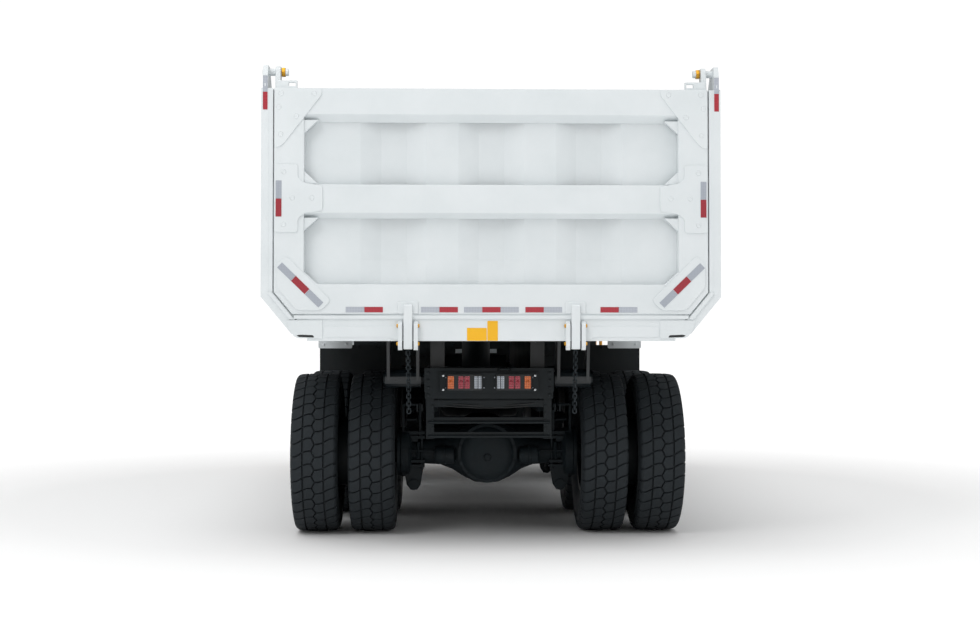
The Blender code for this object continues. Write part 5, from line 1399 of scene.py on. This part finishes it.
def cab_details():
    """Seals, wipers, roof lamps, the drip rail, the door's handle and the mirrors' glass."""
    shape = Shape()
    shell_low, shell_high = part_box("cab_shell")
    glass_low, glass_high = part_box("windscreen")
    # black seal round the windscreen, leaning with it
    lean = (glass_high.y - glass_low.y - 0.010) / (glass_high.z - glass_low.z)

    def on_glass(x, z):
        return (x, glass_high.y + 0.003 - (z - glass_low.z) * lean, z)

    corners = panel((glass_low.x, glass_high.x), (glass_low.z, glass_high.z), 0.06, 5)
    shape.pipe([on_glass(u, v) for u, v in corners], 0.012, 8, 0, loop=True)
    for start in (-1.20, -0.75):
        shape.pipe(
            [
                on_glass(start, glass_low.z - 0.02), on_glass(start + 0.10, glass_low.z + 0.30),
                on_glass(start + 0.14, glass_low.z + 0.55)
            ],
            0.008, 8, 0
        )
        shape.pipe(
            [on_glass(start + 0.04, glass_low.z + 0.12), on_glass(start + 0.24, glass_low.z + 0.66)], 0.007,
            8, 0
        )
        shape.turned(
            [(0.0, -0.02), (0.022, -0.02), (0.020, 0.012), (0.0, 0.014)],
            on_glass(start, glass_low.z - 0.02), "Y", 16, 0
        )
    for x in (-1.42, -1.10, -0.80, -0.48):
        y = shell_high.y - 0.36
        shape.prism(
            "X", x - 0.06, x + 0.06,
            [
                (y - 0.05, shell_high.z - 0.002), (y + 0.05, shell_high.z - 0.002),
                (y + 0.04, shell_high.z + 0.03), (y - 0.03, shell_high.z + 0.038)
            ],
            1
        )
    drip = [
        (shell_low.x + 0.03, shell_low.y + 0.02), (shell_high.x - 0.01, shell_low.y + 0.02),
        (shell_high.x - 0.01, shell_high.y - 0.30), (shell_low.x + 0.03, shell_high.y - 0.30)
    ]
    shape.pipe([(u, v, shell_high.z + 0.002) for u, v in rounded(drip, 0.05)], 0.010, 8, 2, loop=True)
    for name in ("cab_rear_glass", "cab_side_glass"):
        low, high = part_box(name)
        if high.x - low.x > high.y - low.y:
            y = low.y - 0.002
            shape.pipe(at_depth(panel((low.x, high.x), (low.z, high.z), 0.05), y), 0.010, 8, 0, loop=True)
        else:
            x = high.x + 0.003 if high.x > -0.9 else low.x - 0.003
            shape.pipe(
                [(x, u, v) for u, v in panel((low.y, high.y), (low.z, high.z), 0.05)], 0.010, 8, 0,
                loop=True
            )
    shape.done("cab_trim", "chassis", [ABS, AMBER_LENS, WHITE], sharp=40)
    door = Shape()
    low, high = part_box("cab_door")
    glass_low, glass_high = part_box("cab_door_glass")
    face = low.x
    door.block((face - 0.004, face + 0.010), (low.y + 0.05, low.y + 0.20), (2.36, 2.42), 0)
    door.pipe(
        [
            (face - 0.004, low.y + 0.07, 2.39), (face - 0.018, low.y + 0.085, 2.392),
            (face - 0.018, low.y + 0.165, 2.392), (face - 0.004, low.y + 0.18, 2.39)
        ],
        0.008, 10, 0
    )
    door.pipe(
        [
            (glass_low.x - 0.004, u, v) for u,
            v in panel((glass_low.y, glass_high.y), (glass_low.z, glass_high.z), 0.05)
        ],
        0.010, 8, 0, loop=True
    )
    door.done("cab_door_trim", "cab_door", [ABS], sharp=40)
    for side_name, side in SIDES.items():
        low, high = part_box(f"mirror_{side_name}")
        glass = Shape()
        glass.prism(
            "Y", low.y - 0.0022, low.y + 0.002,
            panel((low.x + 0.025, high.x - 0.025), (high.z - 0.36, high.z - 0.025), 0.03)
        )
        glass.done(f"mirror_glass_{side_name}", "chassis", MIRROR, sharp=40)


def seat():
    """A sprung driver's seat: crowned cushion, tall bowed back, head rest, and a pedestal."""
    low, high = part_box("driver_seat")
    middle = (low.x + high.x) / 2

    def pad(shape, centre, half, bulge, lean, steps=12):
        """A padded block: full in the middle, pinched at its seam."""
        rings = []
        for k in range(steps + 1):
            w = -1 + 2 * k / steps
            shrink = max(0.12, (1 - abs(w) ** 5) ** 0.35 if abs(w) < 1 else 0.12)
            ring = []
            for n in range(40):
                t = 2 * pi * n / 40
                # a rounded square of power 4.5, which swells towards its middle both ways
                reach = 1 / (abs(cos(t)) ** 4.5 + abs(sin(t)) ** 4.5) ** (1 / 4.5)
                u, v = cos(t) * reach, sin(t) * reach
                puff = 1 + bulge * (1 - w * w)
                across = u * half[0] * shrink * (1 + bulge * 0.3 * (1 - v * v))
                thick = v * half[2] * shrink * puff * (1 + bulge * (1 - u * u)) / (1 + bulge)
                point = Vector((across, w * half[1], thick))
                point.rotate(Matrix.Rotation(lean, 3, "X"))
                ring.append(tuple(Vector(centre) + point))
            rings.append(ring)
        shape.skin(rings)

    for name, y, z, half, bulge, lean, stands_for in (
        ("seat_cushion", low.y + 0.31, low.z + 0.42, (0.24, 0.25, 0.065), 0.12, 0, ("driver_seat",)),
        ("seat_back", low.y + 0.105, low.z + 0.78, (0.235, 0.31, 0.055), 0.12, 84, ()),
        ("seat_head_rest", low.y + 0.09, high.z - 0.085, (0.13, 0.08, 0.045), 0.1, 86, ()),
    ):
        shape = Shape()
        pad(shape, (middle, y, z), half, bulge, radians(lean))
        piece = shape.done(name, "chassis", CLOTH, stands_for=stands_for, sharp=60)
    stand = Shape()

    def layer(z, thick, half, back, front, radius):
        outline = panel((middle - half, middle + half), (low.y + back, high.y - front), radius)
        stand.prism("Z", low.z + z, low.z + z + thick, outline)

    layer(0.001, 0.029, 0.2, 0.1, 0.06, 0.04)
    for k in range(6):
        # the bellows over the sprung base
        z = 0.03 + k * 0.042
        layer(z, 0.030, 0.17, 0.13, 0.10, 0.05)
        layer(z + 0.028, 0.017, 0.15, 0.15, 0.12, 0.05)
    layer(0.285, 0.080, 0.23, 0.07, 0.03, 0.05)
    stand.done("seat_stand", "chassis", ABS, bevel=0.004)


def intake():
    """The air cleaner: a round can with two clamps, under a rain cap with a slotted skirt."""
    low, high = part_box("air_cleaner")
    centre = ((low.x + high.x) / 2, (low.y + high.y) / 2, 0)
    radius = (high.x - low.x) / 2
    shape = Shape()
    can = [
        (0.0, low.z + 0.001), (radius * 0.80, low.z + 0.001), (radius * 0.84, low.z + 0.03),
        (radius * 0.84, low.z + 0.10), (radius * 0.93, low.z + 0.13), (radius * 0.93, high.z - 0.30),
        (radius * 0.86, high.z - 0.27), (radius * 0.60, high.z - 0.24), (radius * 0.60, high.z - 0.17)
    ]
    can += [
        (radius * 0.98, high.z - 0.16), (radius, high.z - 0.15), (radius, high.z - 0.10),
        (radius * 0.92, high.z - 0.04), (radius * 0.6, high.z - 0.008), (0.0, high.z)
    ]
    shape.turned(can, centre, "Z", 56)
    for z in (low.z + 0.25, low.z + 0.60):
        shape.turned(
            [
                (radius * 0.92, z), (radius * 0.965, z), (radius * 0.965, z + 0.035),
                (radius * 0.92, z + 0.035)
            ],
            centre, "Z", 56, 1, loop=True
        )
    for n in range(24):
        t = 2 * pi * n / 24
        a, b = centre[0] + cos(t) * radius * 0.96, centre[1] + sin(t) * radius * 0.96
        shape.pipe([(a, b, high.z - 0.155), (a, b, high.z - 0.105)], 0.006, 6, 1)
    shape.done(
        "air_cleaner_can", "chassis", [ABS, SPRING], stands_for=("air_cleaner",), sharp=35
    )


front_face()
cab_details()
seat()
intake()


# ---- stage, lights and camera ----
def stage():
    """A pale floor that runs into a white backdrop, soft light from the left behind, and the camera."""
    floor = Shape()
    floor.prism("Z", -0.02, 0.0, [(-600, -600), (600, -600), (600, 600), (-600, 600)])
    material, tree, shader, place = finish_of("matt_studio_floor", "FAFAFA", 0.85)
    # well away from the truck the floor glows a little, so that it runs into the white backdrop with no edge
    away = add(tree, "VectorMath", {0: place}, operation="LENGTH")
    glow = add(
        tree, "MapRange",
        {"Value": away.outputs["Value"], "From Min": 4.7, "From Max": 10.0, "To Min": 0.0, "To Max": 0.32}
    )
    tree.links.new(glow.outputs["Result"], shader.inputs["Emission Strength"])
    shader.inputs["Emission Color"].default_value = linear("FFFFFF")
    bmesh.ops.recalc_face_normals(floor.mesh, faces=floor.mesh.faces)
    data = bpy.data.meshes.new("floor")
    floor.mesh.to_mesh(data)
    floor.mesh.free()
    data.materials.append(material)
    piece = bpy.data.objects.new("floor", data)
    bpy.context.scene.collection.objects.link(piece)
    world = bpy.data.worlds.new("studio")
    world.use_nodes = True
    back = world.node_tree.nodes["Background"]
    seen = add(world.node_tree, "LightPath").outputs["Is Camera Ray"]
    # the backdrop looks pure white, and lights the truck less than it looks
    bright = add(world.node_tree, "MapRange", {"Value": seen, "To Min": 0.47, "To Max": 1.05})
    world.node_tree.links.new(bright.outputs["Result"], back.inputs["Strength"])
    back.inputs["Color"].default_value = linear("FFFFFF")
    bpy.context.scene.world = world
    for name, place, aim, size, power in (
        ("key", (-7, -13, 11), (0, -4, 2), 5, 440),
        ("fill", (10, -9, 7), (0, -2, 2), 8, 110),
    ):
        lamp = bpy.data.lights.new(name, "AREA")
        lamp.size = size
        lamp.energy = power
        light = bpy.data.objects.new(name, lamp)
        light.location = place
        light.rotation_euler = (Vector(aim) - Vector(place)).to_track_quat("-Z", "Y").to_euler()
        bpy.context.scene.collection.objects.link(light)
    sun = bpy.data.lights.new("overhead", "SUN")
    sun.energy = 1.25
    sun.angle = radians(50)
    above = bpy.data.objects.new("overhead", sun)
    above.rotation_euler = (radians(12), radians(-6), 0)
    bpy.context.scene.collection.objects.link(above)
    bpy.context.scene.view_settings.view_transform = "Standard"
    camera = bpy.data.cameras.new("camera")
    camera.sensor_width = 36.0
    camera.lens = 54.9
    camera.clip_end = 200.0
    eye = bpy.data.objects.new("camera", camera)
    eye.location = (-0.36, TAIL_Y - 11.5, 1.6)
    eye.rotation_euler = (radians(91.30), 0.0, radians(-1.72))
    bpy.context.scene.collection.objects.link(eye)
    bpy.context.scene.camera = eye


stage()
